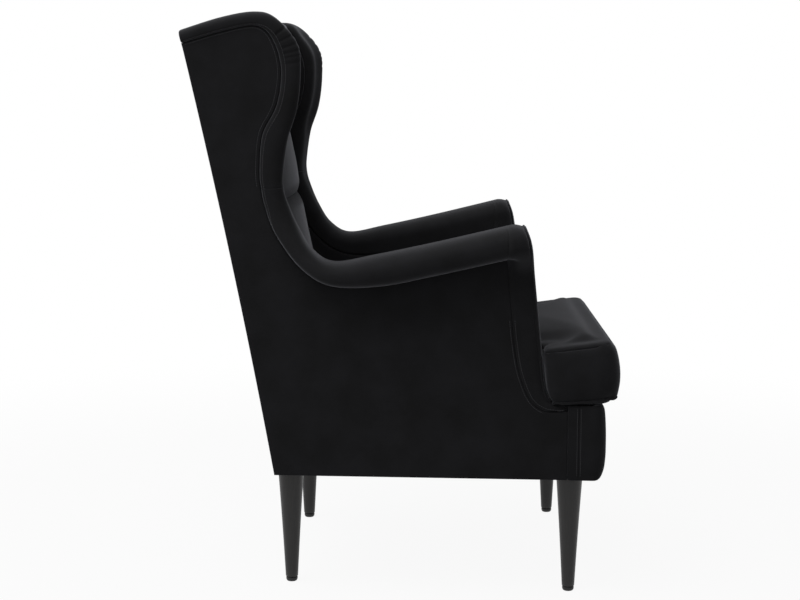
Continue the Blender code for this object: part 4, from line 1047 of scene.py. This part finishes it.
def turned(name, profile, x, y, material, nodes, crease):
    """A turned piece. The profile is a list of (radius, height)."""
    around = 48

    def place(i, j):
        radius, z = profile[i]
        return Vector((x + radius * cos(2 * pi * j / around), y + radius * sin(2 * pi * j / around), z))

    new_piece(name, new_skin(len(profile), around + 1, place), material, nodes, crease=crease)


def make_legs():
    """Turned, tapered legs with a spigot in the frame, and the glides under them."""
    shoulder = LEG_HEIGHT - GAP
    spigot, top, foot, glide = LEG_SPIGOT_RADIUS, LEG_TOP_RADIUS, LEG_FOOT_RADIUS, GLIDE_RADIUS
    cap = [(0, 8 * MM), (glide - 0.8 * MM, 8 * MM), (glide - 0.2 * MM, 7.8 * MM), (glide, 7.2 * MM),
           (glide, 4.0 * MM), (glide - 0.3 * MM, 2.9 * MM), (glide - 1.1 * MM, 1.4 * MM),
           (glide - 1.9 * MM, 0.4 * MM), (glide - 2.7 * MM, 0), (0, 0)]
    for place in [f"{end}_{word}" for end in ("front", "rear") for word in SIDES]:
        low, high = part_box(f"leg_{place}")
        x, y = middle_of((low, high))
        profile = [(0, high.z), (spigot - 1 * MM, high.z), (spigot, high.z - 0.8 * MM), (spigot, shoulder),
                   (top - 1.0 * MM, shoulder), (top - 0.3 * MM, shoulder - 0.3 * MM)]
        profile += [(top - (top - foot) * share - 0.5 * MM * sin(pi * share),
                     shoulder - 1.0 * MM - (shoulder - low.z - 3 * MM) * share)
                    for share in steps(0, 1, 24, 1)]
        profile += [(foot - 0.35 * MM, low.z + 1.1 * MM), (foot - 1.0 * MM, low.z + 0.3 * MM),
                    (foot - 2.0 * MM, low.z), (0, low.z)]
        turned(f"turned_leg_{place}", profile, x, y, black_legs, [f"leg_{place}"],
               radians(40))
        turned(f"moulded_glide_{place}", cap, x, y, nylon, [f"leg_glide_{place}"],
               radians(50))


def make_deck():
    """The padded platform under the cushion. It widens in front of the arms, and its cover is tucked in
    under the back pad."""
    low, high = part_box("seat_deck")
    rear = high.y + DECK_TUCKED_IN
    wide = [half_width(y, 0) - SHELL_THICKNESS - 2 * GAP for y in (low.y, DECK_EAR_REAR_Y)]
    narrow = [half_width(y, low.z - LEG_HEIGHT) - (SIDE_THICKNESS + GAP) for y in (DECK_EAR_REAR_Y, rear)]
    corners = [(wide[0], low.y), (wide[1], DECK_EAR_REAR_Y), (narrow[0], DECK_EAR_REAR_Y), (narrow[1], rear)]
    corners += mirrored(corners)
    outline = []
    for corner, after in zip(corners, corners[1:] + corners[:1]):
        length = hypot(after[0] - corner[0], after[1] - corner[1])
        outline += between(corner, after, max(2, round(length / (9 * MM))))
    shape = new_panel(outline, DECK_RIM, 24 * MM)
    rise = sum(step for _, step in DECK_RIM)
    thicken(shape, high.z - low.z - rise)
    for vertex in shape.verts:
        vertex.co.z += high.z - rise
    new_piece("deck_cover", shape, black_velvet, ["seat_deck"])


def make_dust_cover():
    """Lining cloth stapled under the frame, notched round the legs, with a slight sag."""
    low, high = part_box("dust_cover")
    front_x, front_y = middle_of(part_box("leg_front_left"))
    rear_x, back_y = middle_of(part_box("leg_rear_left"))
    front_x, front_y = front_x - LEG_NOTCH, front_y + LEG_NOTCH
    rear_x, back_y = rear_x - LEG_NOTCH, back_y - LEG_NOTCH
    inset = SHELL_THICKNESS + GAP
    corners = [(front_x, low.y), (front_x, front_y), (half_width(front_y, 0) - inset, front_y),
               (half_width(back_y, 0) - inset, back_y), (rear_x, back_y), (rear_x, high.y)]
    shape = new_panel(corners + mirrored(corners), [], 22 * MM)
    thicken(shape, LINING_THICKNESS)
    for vertex in shape.verts:
        x, y, z = vertex.co
        share_x = 1 - (x / high.x) ** 2
        share_y = max(0, 1 - ((y - (low.y + high.y) / 2) / ((high.y - low.y) / 2)) ** 2)
        vertex.co.z = z + high.z - LINING_SAG * max(0, share_x * share_y) ** 0.6
    cut = sum(face.calc_area() for face in shape.faces if abs(face.normal.z) > 0.5) / 2
    piece = new_piece("lining_sheet", shape, lining, ["dust_cover"])


def make_webbing():
    """Elastic straps across the back, with rounded edges."""
    edge = [(0.0, 0.15), (0.012, 0.42), (0.03, 0.5), (0.5, 0.5), (0.97, 0.5), (0.988, 0.42), (1.0, 0.15)]
    ring = edge + [(share, -half) for share, half in reversed(edge)]
    cells = 60
    for number in (1, 2, 3):
        low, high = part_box(f"back_webbing_{number}")

        def place(i, j):
            share, half = ring[j % len(ring)]
            across = min(max((i - 1) / cells, 0), 1)
            size = 0 if i in (0, cells + 2) else 1
            y = low.y + STRAP_THICKNESS / 2 + (high.y - low.y - STRAP_THICKNESS) * share
            return Vector((low.x + (high.x - low.x) * across, y + half * STRAP_THICKNESS * size,
                           low.z + (high.z - low.z) * share))

        new_piece(f"back_strap_{number}", new_skin(cells + 3, len(ring) + 1, place), webbing,
                  [f"back_webbing_{number}"])


def make_zip():
    """The cushion's zip: its row of teeth and its tape."""
    low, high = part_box("cushion_zip")
    shape = bmesh.new()
    for step in range(round(2 * ZIP_HALF_LENGTH / ZIP_PITCH)):
        for row in (-1, 1):
            x = -ZIP_HALF_LENGTH + (step + 0.5 + row * 0.25) * ZIP_PITCH
            spot = Matrix.Translation((x, high.y + 0.1 * MM, ZIP_LEVEL + row * 0.7 * MM))
            bmesh.ops.create_cube(shape, size=1, matrix=spot @ Matrix.Diagonal((*ZIP_TOOTH, 1)))
    new_piece("zip_teeth", shape, zip_tape, body="seat_cushion")
    columns = 91
    # Section of the tape as (share of its height, share of its depth), thinner in its middle
    levels = [(0, 0), (0, 1), (0.06, 1.25), (0.38, 1.1), (0.44, 0.8), (0.56, 0.8), (0.62, 1.1),
              (0.94, 1.25), (1, 1), (1, 0)]

    def place(i, j):
        share, depth = levels[j % len(levels)]
        across = min(max((i - 1) / (columns - 3), 0), 1)
        size = 0.2 if i in (0, columns - 1) else 1
        depth = 0.5 + (depth - 0.5) * size
        share = 0.5 + (share - 0.5) * size
        return Vector((low.x + (high.x - low.x) * across, low.y + (high.y - low.y) * 0.8 * depth,
                       low.z + (high.z - low.z) * share))

    new_piece("zip_tape", new_skin(columns, len(levels) + 1, place), zip_tape, ["cushion_zip"],
              body="seat_cushion")


def rounded_block(shape, low, high, radius):
    """Add a block with rounded edges between two corners."""
    size = [b - a for a, b in zip(low, high)]
    middle = [(a + b) / 2 for a, b in zip(low, high)]
    place = Matrix.Translation(middle) @ Matrix.Diagonal((*size, 1))
    block = bmesh.ops.create_cube(shape, size=1, matrix=place)
    edges = list({edge for vertex in block["verts"] for edge in vertex.link_edges})
    bmesh.ops.bevel(shape, geom=edges, offset=radius, segments=2, profile=0.5, affect="EDGES")


def make_slider():
    """The zip's slider: two plates, a bridge over them and a pull tab with a hole."""
    low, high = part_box("zip_slider")
    x = (low.x + high.x) / 2
    body_low = high.z - 10 * MM
    shape = bmesh.new()
    rounded_block(shape, (low.x, low.y, body_low), (high.x, low.y + 0.9 * MM, high.z), 0.35 * MM)
    rounded_block(shape, (low.x + 0.8 * MM, low.y + 1.0 * MM, body_low + 0.8 * MM),
                  (high.x - 0.8 * MM, low.y + 1.9 * MM, high.z - 0.8 * MM), 0.35 * MM)
    rounded_block(shape, (x - 1.2 * MM, low.y + 1.7 * MM, body_low + 2.0 * MM),
                  (x + 1.2 * MM, high.y, high.z - 2.0 * MM), 0.5 * MM)
    new_piece("slider_body", shape, slider_metal, ["zip_slider"], body="zip_pull")
    # Outlines of the tab and its hole, in millimetres across and down
    ring, hole = [upper + mirrored(upper) + lower + mirrored(lower) for upper, lower in (
        ([(-2.5, 0.6), (-2.5, 16.0), (-2.0, 16.9), (-1.1, 17.4)], [(2.2, 0.1), (1.7, 0)]),
        ([(-1.4, 1.6), (-1.4, 5.2), (-1.1, 5.9), (-0.6, 6.2)], [(1.2, 1.2), (0.9, 1.1)]))]
    depths = [(ring, 0), (hole, 0), (hole, 1.1), (ring, 1.1)]

    def place(i, j):
        loop, depth = depths[j % 4]
        across, down = loop[i % len(loop)]
        return Vector((x + across * MM, low.y + 2.1 * MM + depth * MM, high.z - 3.5 * MM - down * MM))

    new_piece("pull_tab", new_skin(len(ring) + 1, 5, place), slider_metal, body="zip_pull",
              crease=radians(40))


def make_back():
    """The crowned back pad with its sewn channel."""
    front = smooth_line(BACK_PAD_FRONT, 2 * MM)
    top_y, top_h = BACK_PAD_FRONT[-1]
    bottom = BACK_PAD_FRONT[0][1]
    rear_slope = (TOP_BORDER_REAR[1] - top_h) / (TOP_BORDER_REAR[0] - top_y)
    rear_top = top_h + rear_slope * (pad_rear_y(top_h) - top_y)
    ends = [0, 0.8 * MM, 1.8 * MM, 3.2 * MM, 5 * MM, 7.5 * MM]
    levels = [bottom] * 3 + drawn_to(bottom, TUCK_HEIGHT, ends, 5 * MM)
    levels += drawn_to(TUCK_HEIGHT, top_h, ends, 5 * MM)[1:] + [top_h] * 3
    sizes = [0, 0.4, 0.8] + [1] * (len(levels) - 6) + [0.8, 0.4, 0]
    across = drawn_to(-1, 1, [0, 0.002, 0.006, 0.012, 0.02, 0.03, 0.045], 0.022)
    rows = len(across) + 4

    def place(i, j):
        j %= rows
        height = levels[i]
        share = (height - bottom) / (top_h - bottom)
        rear_height = bottom + share * (rear_top - bottom)
        rear_point = pad_rear_y(rear_height)
        end_dip = seam_dip(min(height - bottom, top_h - height), 5 * MM, 9 * MM)
        from_tuck = abs(height - TUCK_HEIGHT)
        hollow = 0.45 * (1 - ease(from_tuck, 0, TUCK_REACH)) + 0.55 * exp(-from_tuck / TUCK_CREASE)
        y = value_at(front, 1, 0, height) + BACK_PAD_SETTLED + TUCK_DEPTH * hollow + end_dip
        if j < len(across):
            part = across[j]
            point_y = y + BACK_PAD_CROWN * part ** 2 + seam_dip((1 - abs(part)) * 0.24, 6 * MM, 10 * MM)
        else:
            part = (1, 0.4, -0.4, -1)[j - len(across)]
            point_y = rear_point
        point_h = height + (rear_height - height) * (point_y - y) / (rear_point - y)
        half = half_width(point_y, point_h) - SIDE_THICKNESS - GAP
        point = Vector((part * half, point_y, LEG_HEIGHT + point_h))
        centre = Vector((0, (y + rear_point) / 2, LEG_HEIGHT + (height + rear_height) / 2))
        return centre.lerp(point, sizes[i])

    new_piece("back_pad_cover", new_skin(len(levels), rows + 1, place), black_velvet, ["back_pad"])


def make_top_border():
    """Padding over the top rail, between the wings."""
    (top_y, top_h), (rear, rear_h) = BACK_PAD_FRONT[-1], TOP_BORDER_REAR
    outline = smooth_line(TOP_BORDER_FACE, 3 * MM)
    outline += [(top_y, top_h + GAP), ((top_y + rear) / 2, (top_h + rear_h) / 2), TOP_BORDER_REAR]
    ends = [0, 0, 0, 0, 0.5 * MM, 1.3 * MM, 2.6 * MM, 4.4 * MM, 7 * MM]
    length = 2 * (REAR_HALF_WIDTH - SIDE_THICKNESS - GAP)
    marks = drawn_to(0, length, ends, 8 * MM)
    sizes = {0: 0, 1: 0.4, 2: 0.75}
    centre_y, centre_h = TOP_BORDER_MIDDLE

    def place(i, j):
        y, height = outline[j % len(outline)]
        distance = min(marks[i], length - marks[i])
        near = min(i, len(marks) - 1 - i)
        size = sizes.get(near, 1 - seam_dip(distance, 4 * MM, 7 * MM) / 0.03)
        y = centre_y + (y - centre_y) * size
        height = centre_h + (height - centre_h) * size
        half = half_width(y, height) - SIDE_THICKNESS - GAP
        return Vector(((marks[i] / length * 2 - 1) * half, y, LEG_HEIGHT + height))

    new_piece("top_border_cover", new_skin(len(marks), len(outline) + 1, place), black_velvet,
              ["top_border"])


def make_outer_back():
    """The panel behind: velvet over lining board."""
    top = TOP_BORDER_REAR[1] - 2 * GAP
    ends = [0, 0.2 * MM, 0.6 * MM, 1.2 * MM, 2.0 * MM, 3.0 * MM, 4.0 * MM, 4.6 * MM, 5.2 * MM, 7 * MM]
    width = 2 * REAR_HALF_WIDTH
    across = drawn_to(0, width, ends, 20 * MM)
    levels = drawn_to(BODY_FOOT, top, ends, 20 * MM)
    inset = SHELL_THICKNESS + GAP

    def place(i, j):
        height = levels[j]
        distance = min(across[i], width - across[i], height - BODY_FOOT, top - height)
        y = rear_y(height) - seam_dip(distance)
        half = half_width(y, height) - inset
        return Vector(((across[i] / width * 2 - 1) * half, y, LEG_HEIGHT + height))

    shape = new_skin(len(across), len(levels), place)
    for vertex in grown_from(shape, True):
        vertex.co.y = rear_y(vertex.co.z - LEG_HEIGHT) - SHELL_THICKNESS
    bmesh.ops.recalc_face_normals(shape, faces=shape.faces)
    new_piece("outer_back_cover", shape, black_velvet, ["outer_back"])


def beside_arms(y):
    """Half width of the cushion's seams between the arms."""
    return half_width(max(y, CUSHION_EAR_REAR_Y), CUSHION_LEVEL) - SIDE_THICKNESS - CUSHION_SIDE_GAP


def cushion_edge(x, y, beside, steeper):
    """Distance of a point of the cushion's plan from its seams, counted longer behind the front seam."""
    from_front = steeper * (y - CUSHION_FRONT_Y)
    if y >= CUSHION_EAR_REAR_Y:
        return soft_least(from_front, beside - abs(x), CUSHION_REAR_Y - y)
    behind = CUSHION_EAR_REAR_Y - y
    from_ear = behind if abs(x) > beside else hypot(beside - abs(x), behind)
    return soft_least(from_front, CUSHION_EAR_HALF_WIDTH - abs(x), from_ear)


def cushion_top(edge):
    """Rise of the cushion's top over its seam, at a distance from it."""
    rise, begin, end = CUSHION_STEP
    start, reach = CUSHION_CROWN_REACH
    puffed = CUSHION_PUFF * (1 - exp(-edge / (6 * MM)))
    return puffed + rise * ease(edge, begin, end) + CUSHION_CROWN * (1 - exp(-max(edge - start, 0) / reach))


def rounded_corner(x, y):
    """Move a point of the cushion's plan so that its outline has round corners."""
    for radius, ear, way in CUSHION_CORNERS:
        edge_x = CUSHION_EAR_HALF_WIDTH if ear else beside_arms(CUSHION_REAR_Y)
        edge_y = CUSHION_FRONT_Y if way < 0 else (CUSHION_EAR_REAR_Y if ear else CUSHION_REAR_Y)
        across = (abs(x) - (edge_x - radius)) / radius
        along = (y - (edge_y - way * radius)) * way / radius
        if 0 < across <= 1.001 and 0 < along <= 1.001:
            size = max(across, along) / hypot(across, along)
            new_x = edge_x - radius + across * size * radius
            return new_x * (1 if x > 0 else -1), edge_y - way * radius + way * along * size * radius
    return x, y


def cushion_point(across, y, level):
    """A point of the cushion's pattern. Across runs from -1 to 1 between the arms and to 2 over the ears."""
    beside = beside_arms(y)
    over = max(abs(across) - 1, 0)
    x = min(abs(across), 1) * beside + over * (CUSHION_EAR_HALF_WIDTH - beside)
    x *= 1 if across > 0 else -1
    edge = cushion_edge(x, y, beside, CUSHION_FRONT_STEEPER if level == 1 else 1)
    x, y = rounded_corner(x, y)
    forward = min(max((CUSHION_EAR_REAR_Y - y) / (CUSHION_EAR_REAR_Y - CUSHION_FRONT_Y), 0), 1)
    bottom = CUSHION_BOTTOM_SEAM + CUSHION_BOTTOM_RISE * forward ** 1.6
    top = CUSHION_TOP_SEAM + CUSHION_TOP_RISE * forward
    z = bottom + level * (top - bottom)
    if level == 1:
        dome = ease(edge, *CUSHION_DOME_GROWS) * ease(y, *CUSHION_DOME_BEHIND)
        z += cushion_top(edge) + CUSHION_DOME * dome
    if level == 0:
        z -= CUSHION_UNDERSIDE[0] * (1 - exp(-edge / CUSHION_UNDERSIDE[1]))
    if over > 0 and y > (CUSHION_FRONT_Y + CUSHION_EAR_REAR_Y) / 2:
        y += CUSHION_EAR_SLANT * level * min(over * 4, 1)
    y += CUSHION_TOP_BACK * level * ease(forward, 0.3, 1)
    if y < CUSHION_EAR_REAR_Y and 0 < level < 1:
        inner_x = CUSHION_EAR_HALF_WIDTH - CUSHION_BULGE_TURN
        inner_y = CUSHION_FRONT_Y + CUSHION_BULGE_TURN
        out = Vector((x - max(-inner_x, min(inner_x, x)), min(y - inner_y, 0)))
        bulge = CUSHION_BULGE * (1 - (2 * level - 1) ** 2) ** 0.7
        x += out.x / CUSHION_BULGE_TURN * bulge * CUSHION_BULGE_SIDE
        y += out.y / CUSHION_BULGE_TURN * bulge
    return Vector((x, y, z))


def cushion_kept_clear(point):
    """Keep a point of the cushion clear of the arms, the back, the zip and the deck."""
    x, y, z = point
    height = z - LEG_HEIGHT
    if y > CUSHION_EAR_REAR_Y + 6 * MM:
        limit = half_width(y, height) - SIDE_THICKNESS - 1 * MM
        x = max(-limit, min(limit, x))
    elif abs(x) > beside_arms(0) + 10 * MM:
        y = min(y, value_at(ARM_FACE_LINE, 1, 0, height) - 1.0 * MM)
    from_zip = max(abs(z - ZIP_LEVEL) - 9 * MM, abs(x) - ZIP_HALF_LENGTH - 6 * MM)
    rear = CUSHION_REAR_Y + 0.2 * MM + 3.3 * MM * ease(from_zip, 0, 14 * MM)
    return Vector((x, min(y, rear), max(z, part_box("seat_deck")[1].z + GAP)))


def lower_seam():
    """The cushion's lower seam, as points with the ways outwards seen from above."""
    corners = [(0, CUSHION_FRONT_Y), (2, CUSHION_FRONT_Y), (2, CUSHION_EAR_REAR_Y), (1, CUSHION_EAR_REAR_Y),
               (1, CUSHION_REAR_Y), (0, CUSHION_REAR_Y)]
    half = []
    for corner, after, count in zip(corners, corners[1:], (60, 22, 12, 60, 40)):
        half += between(corner, after, count)
    whole = half + corners[-1:] + mirrored(half[1:])
    line = [cushion_kept_clear(cushion_point(across, y, 0)) for across, y in whole]
    alongs = [after - before for before, after in zip(line[-1:] + line, line[1:] + line[:1])]
    return [(point, Vector((along.y, -along.x, 0)).normalized()) for point, along in zip(line, alongs)]


def new_cushion_shape():
    """The cushion's cover as sewn: two T panels and the boxing between them, with creased seams. The second
    result is the numbers of the points in its seams."""
    columns = steps(-2, -1, 7) + steps(-1, 1, 52) + steps(1, 2, 7, 1)
    main_rows = round((CUSHION_REAR_Y - CUSHION_EAR_REAR_Y) / CUSHION_CELL)
    rows = steps(CUSHION_FRONT_Y, CUSHION_EAR_REAR_Y, 12)
    rows += steps(CUSHION_EAR_REAR_Y, CUSHION_REAR_Y, main_rows, 1)
    shape = new_grid(len(columns), len(rows), lambda i, j: (columns[i], rows[j], 0))
    beside_seat = [face for face in shape.faces if abs(face.calc_center_median().x) > 1
                   and face.calc_center_median().y > CUSHION_EAR_REAR_Y]
    bmesh.ops.delete(shape, geom=beside_seat, context="FACES")
    for vertex in grown_from(shape):
        vertex.co.z = 1
    upright = [edge for edge in shape.edges if abs(edge.verts[0].co.z - edge.verts[1].co.z) > 0.5]
    bmesh.ops.subdivide_edges(shape, edges=upright, cuts=9, use_grid_fill=True)
    sewn = [edge for edge in shape.edges if edge.verts[0].co.z == edge.verts[1].co.z
            and edge.verts[0].co.z in (0, 1)
            and any(0 < vertex.co.z < 1 for face in edge.link_faces for vertex in face.verts)]
    for vertex in shape.verts:
        vertex.co = cushion_point(*vertex.co)
    seam = {vertex for edge in sewn for vertex in edge.verts}
    tree = KDTree(len(seam))
    for index, vertex in enumerate(seam):
        tree.insert(vertex.co, index)
    tree.balance()
    bmesh.ops.bevel(shape, geom=sewn, offset=CUSHION_SEAM_CREASE, segments=2, profile=1.0, affect="EDGES")
    bmesh.ops.recalc_face_normals(shape, faces=shape.faces)
    shape.verts.index_update()
    return shape, [vertex.index for vertex in shape.verts if tree.find(vertex.co)[2] < 0.05 * MM]


def subdivided(thing):
    """Apply one subdivision to a piece's mesh."""
    finer = thing.modifiers.new("finer", "SUBSURF")
    finer.levels = 1
    finer.render_levels = 1
    view = thing.evaluated_get(bpy.context.evaluated_depsgraph_get())
    mesh = bpy.data.meshes.new_from_object(view)
    thing.modifiers.clear()
    thing.data = mesh
    mesh.shade_smooth()


def ways_outwards(mesh):
    """The normals at a mesh's points."""
    return [item.vector.copy() for item in mesh.vertex_normals]


def groove_seam(mesh, seams):
    """Sink the narrow groove of the cushion's upper seam into its subdivided cover."""
    seam = {index for index in seams if mesh.vertices[index].co.z > CUSHION_MIDDLE}
    pairs = [tuple(edge.vertices) for edge in mesh.edges]
    beside = Counter([two for one, two in pairs if one in seam] + [one for one, two in pairs if two in seam])
    outwards = ways_outwards(mesh)
    for index in seam | {index for index, count in beside.items() if count > 1}:
        mesh.vertices[index].co -= outwards[index] * CUSHION_GROOVE


def make_cushion():
    """The loose T cushion, crowned by its filling, with a welt round its lower seam."""
    shape, seams = new_cushion_shape()
    mesh = new_mesh("cushion_cover_velvet", shape, black_velvet)
    pattern = mesh.copy()
    cushion = new_object("cushion_cover_velvet", mesh)
    outwards = ways_outwards(mesh)
    for index in seams:
        upper = mesh.vertices[index].co.z > CUSHION_MIDDLE
        mesh.vertices[index].co -= outwards[index] * CUSHION_SEAM_DIPS[upper]
    for vertex in mesh.vertices:
        vertex.co = cushion_kept_clear(vertex.co)
    make_core(pattern)
    subdivided(cushion)
    groove_seam(cushion.data, seams)
    settle(cushion, ["cushion_cover"], "seat_cushion")
    cover = BVHTree.FromPolygons([vertex.co for vertex in cushion.data.vertices],
                                 [face.vertices[:] for face in cushion.data.polygons])
    welt = []
    for point, way in lower_seam():
        point = point + way * MM - Vector((0, 0, 0.8 * MM))
        near = cover.find_nearest(point)[0]
        welt.append(near + (point - near) * min(1, WELT_STANDS_OFF / max((point - near).length, 1e-9)))
    new_piece("cushion_lower_welt", new_cord(welt, WELT_RADIUS, True), black_velvet, body="seat_cushion")


def make_core(mesh):
    """The foam inside the cushion: the cover's pattern, smaller on every side by its wadding."""
    core = new_object("cushion_foam", mesh)
    back = Vector((0, CORE_INSET, 0))
    for vertex, way in zip(mesh.vertices, ways_outwards(mesh)):
        vertex.co = cushion_kept_clear(vertex.co - way * CORE_INSET + back) - back
    mesh.materials.clear()
    mesh.materials.append(foam)
    mesh.shade_smooth()
    settle(core, ["cushion_core"], "seat_cushion")


def make_camera():
    """The photograph's camera."""
    camera = new_object("camera", bpy.data.cameras.new("camera"))
    camera.data.lens = CAMERA_LENS
    camera.data.clip_start = 0.05
    camera.location = CAMERA_PLACE
    level = cos(CAMERA_PITCH)
    look = Vector((cos(CAMERA_YAW) * level, sin(CAMERA_YAW) * level, -sin(CAMERA_PITCH)))
    camera.rotation_mode = "QUATERNION"
    camera.rotation_quaternion = look.to_track_quat("-Z", "Y")
    bpy.context.scene.camera = camera


def make_floor():
    """A white floor, which rays from the camera see as a glow."""
    material = bpy.data.materials.new("white_floor")
    material.use_nodes = True
    tree = material.node_tree
    tree.nodes.clear()
    seen = add(tree, "LightPath")
    direct = add(tree, "Math", {0: seen.outputs["Is Camera Ray"], 1: seen.outputs["Is Glossy Ray"]},
                 operation="MAXIMUM")
    direct = add(tree, "Math", {0: direct.outputs[0], 1: seen.outputs["Is Transmission Ray"]},
                 operation="MAXIMUM")
    # The floor glows more away from the chair, where the lamp doesn't reach, and so has no horizon
    place = add(tree, "TexCoord").outputs["Object"]
    distance = add(tree, "VectorMath", {0: place}, operation="LENGTH").outputs["Value"]
    near, far = FLOOR_GLOW_GROWS
    glowing = add(tree, "MapRange", {"Value": distance, "From Min": near, "From Max": far,
                                     "To Min": FLOOR_GLOW, "To Max": 1.0}, interpolation_type="SMOOTHSTEP")
    share = add(tree, "Math", {0: direct.outputs[0], 1: glowing.outputs["Result"]}, operation="MULTIPLY")
    matt = add(tree, "BsdfDiffuse", {"Color": colour("#b4b4b4")})
    glow = add(tree, "Emission", {"Color": (1, 1, 1, 1), "Strength": 1.0})
    both = add(tree, "MixShader", {0: share.outputs[0], 1: matt.outputs[0], 2: glow.outputs[0]})
    add(tree, "OutputMaterial", {"Surface": both.outputs[0]})
    shape = bmesh.new()
    bmesh.ops.create_grid(shape, x_segments=1, y_segments=1, size=400)
    floor = new_object("floor", new_mesh("floor", shape, material))


def make_light():
    """A white background, and soft light that comes mostly from above and behind."""
    world = bpy.data.worlds.new("studio")
    world.use_nodes = True
    bpy.context.scene.world = world
    tree = world.node_tree
    tree.nodes.clear()
    seen = add(tree, "LightPath")
    direct = add(tree, "Math", {0: seen.outputs["Is Camera Ray"], 1: seen.outputs["Is Transmission Ray"]},
                 operation="MAXIMUM")
    way = add(tree, "SeparateXYZ", {"Vector": add(tree, "TexCoord").outputs["Generated"]})
    level, ahead = [add(tree, "MapRange", {"Value": way.outputs[axis], "From Min": low, "From Max": high,
                                           "To Min": first, "To Max": last}).outputs["Result"]
                    for axis, low, high, first, last in (("Z", -0.1, 0.9, HORIZON_LIGHT, ZENITH_LIGHT),
                                                         ("Y", -1.0, 1.0, FRONT_LIGHT, REAR_LIGHT))]
    strength = add(tree, "Math", {0: level, 1: ahead}, operation="MULTIPLY")
    soft = add(tree, "Background", {"Color": (1, 1, 1, 1), "Strength": strength.outputs[0]})
    white = add(tree, "Background", {"Color": (1, 1, 1, 1), "Strength": 1.0})
    both = add(tree, "MixShader", {0: direct.outputs[0], 1: soft.outputs[0], 2: white.outputs[0]})
    add(tree, "OutputWorld", {"Surface": both.outputs[0]})

    lamp = bpy.data.lights.new("softbox", "AREA")
    lamp.shape = "RECTANGLE"
    lamp.size = SOFTBOX_SIZE
    lamp.size_y = SOFTBOX_SIZE
    lamp.energy = SOFTBOX_POWER
    holder = new_object("softbox", lamp)
    holder.location = SOFTBOX_PLACE
    holder.rotation_mode = "QUATERNION"
    holder.rotation_quaternion = (Vector((0, 0, 0.5)) - holder.location).to_track_quat("-Z", "Y")
    bpy.context.scene.view_settings.view_transform = "Standard"


make_camera()
make_floor()
make_light()
make_borders()
make_outer_sides()
make_inner_pads()
make_arm_fronts()
make_front_border()
make_back()
make_top_border()
make_outer_back()
make_cushion()
make_seam_allowances()
make_topstitching()
make_deck()
make_zip()
make_slider()
make_webbing()
make_dust_cover()
make_legs()

# The frame's own pieces keep their solids. Those that are replaced get the finish that they stand for.
NODE_FINISHES = [("leg_glide", nylon), ("leg_bolt", zinc), ("leg_", black_legs), ("spring", wire),
                 ("webbing", webbing), ("board", plywood), ("core", foam), ("slider", slider_metal),
                 ("zip", zip_tape), ("dust", lining), ("rail", beech), ("post", beech), ("block", beech),
                 ("", black_velvet)]
for name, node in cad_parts.items():
    finish = next(material for word, material in NODE_FINISHES if word in name)
    node.data.materials.clear()
    node.data.materials.append(finish)
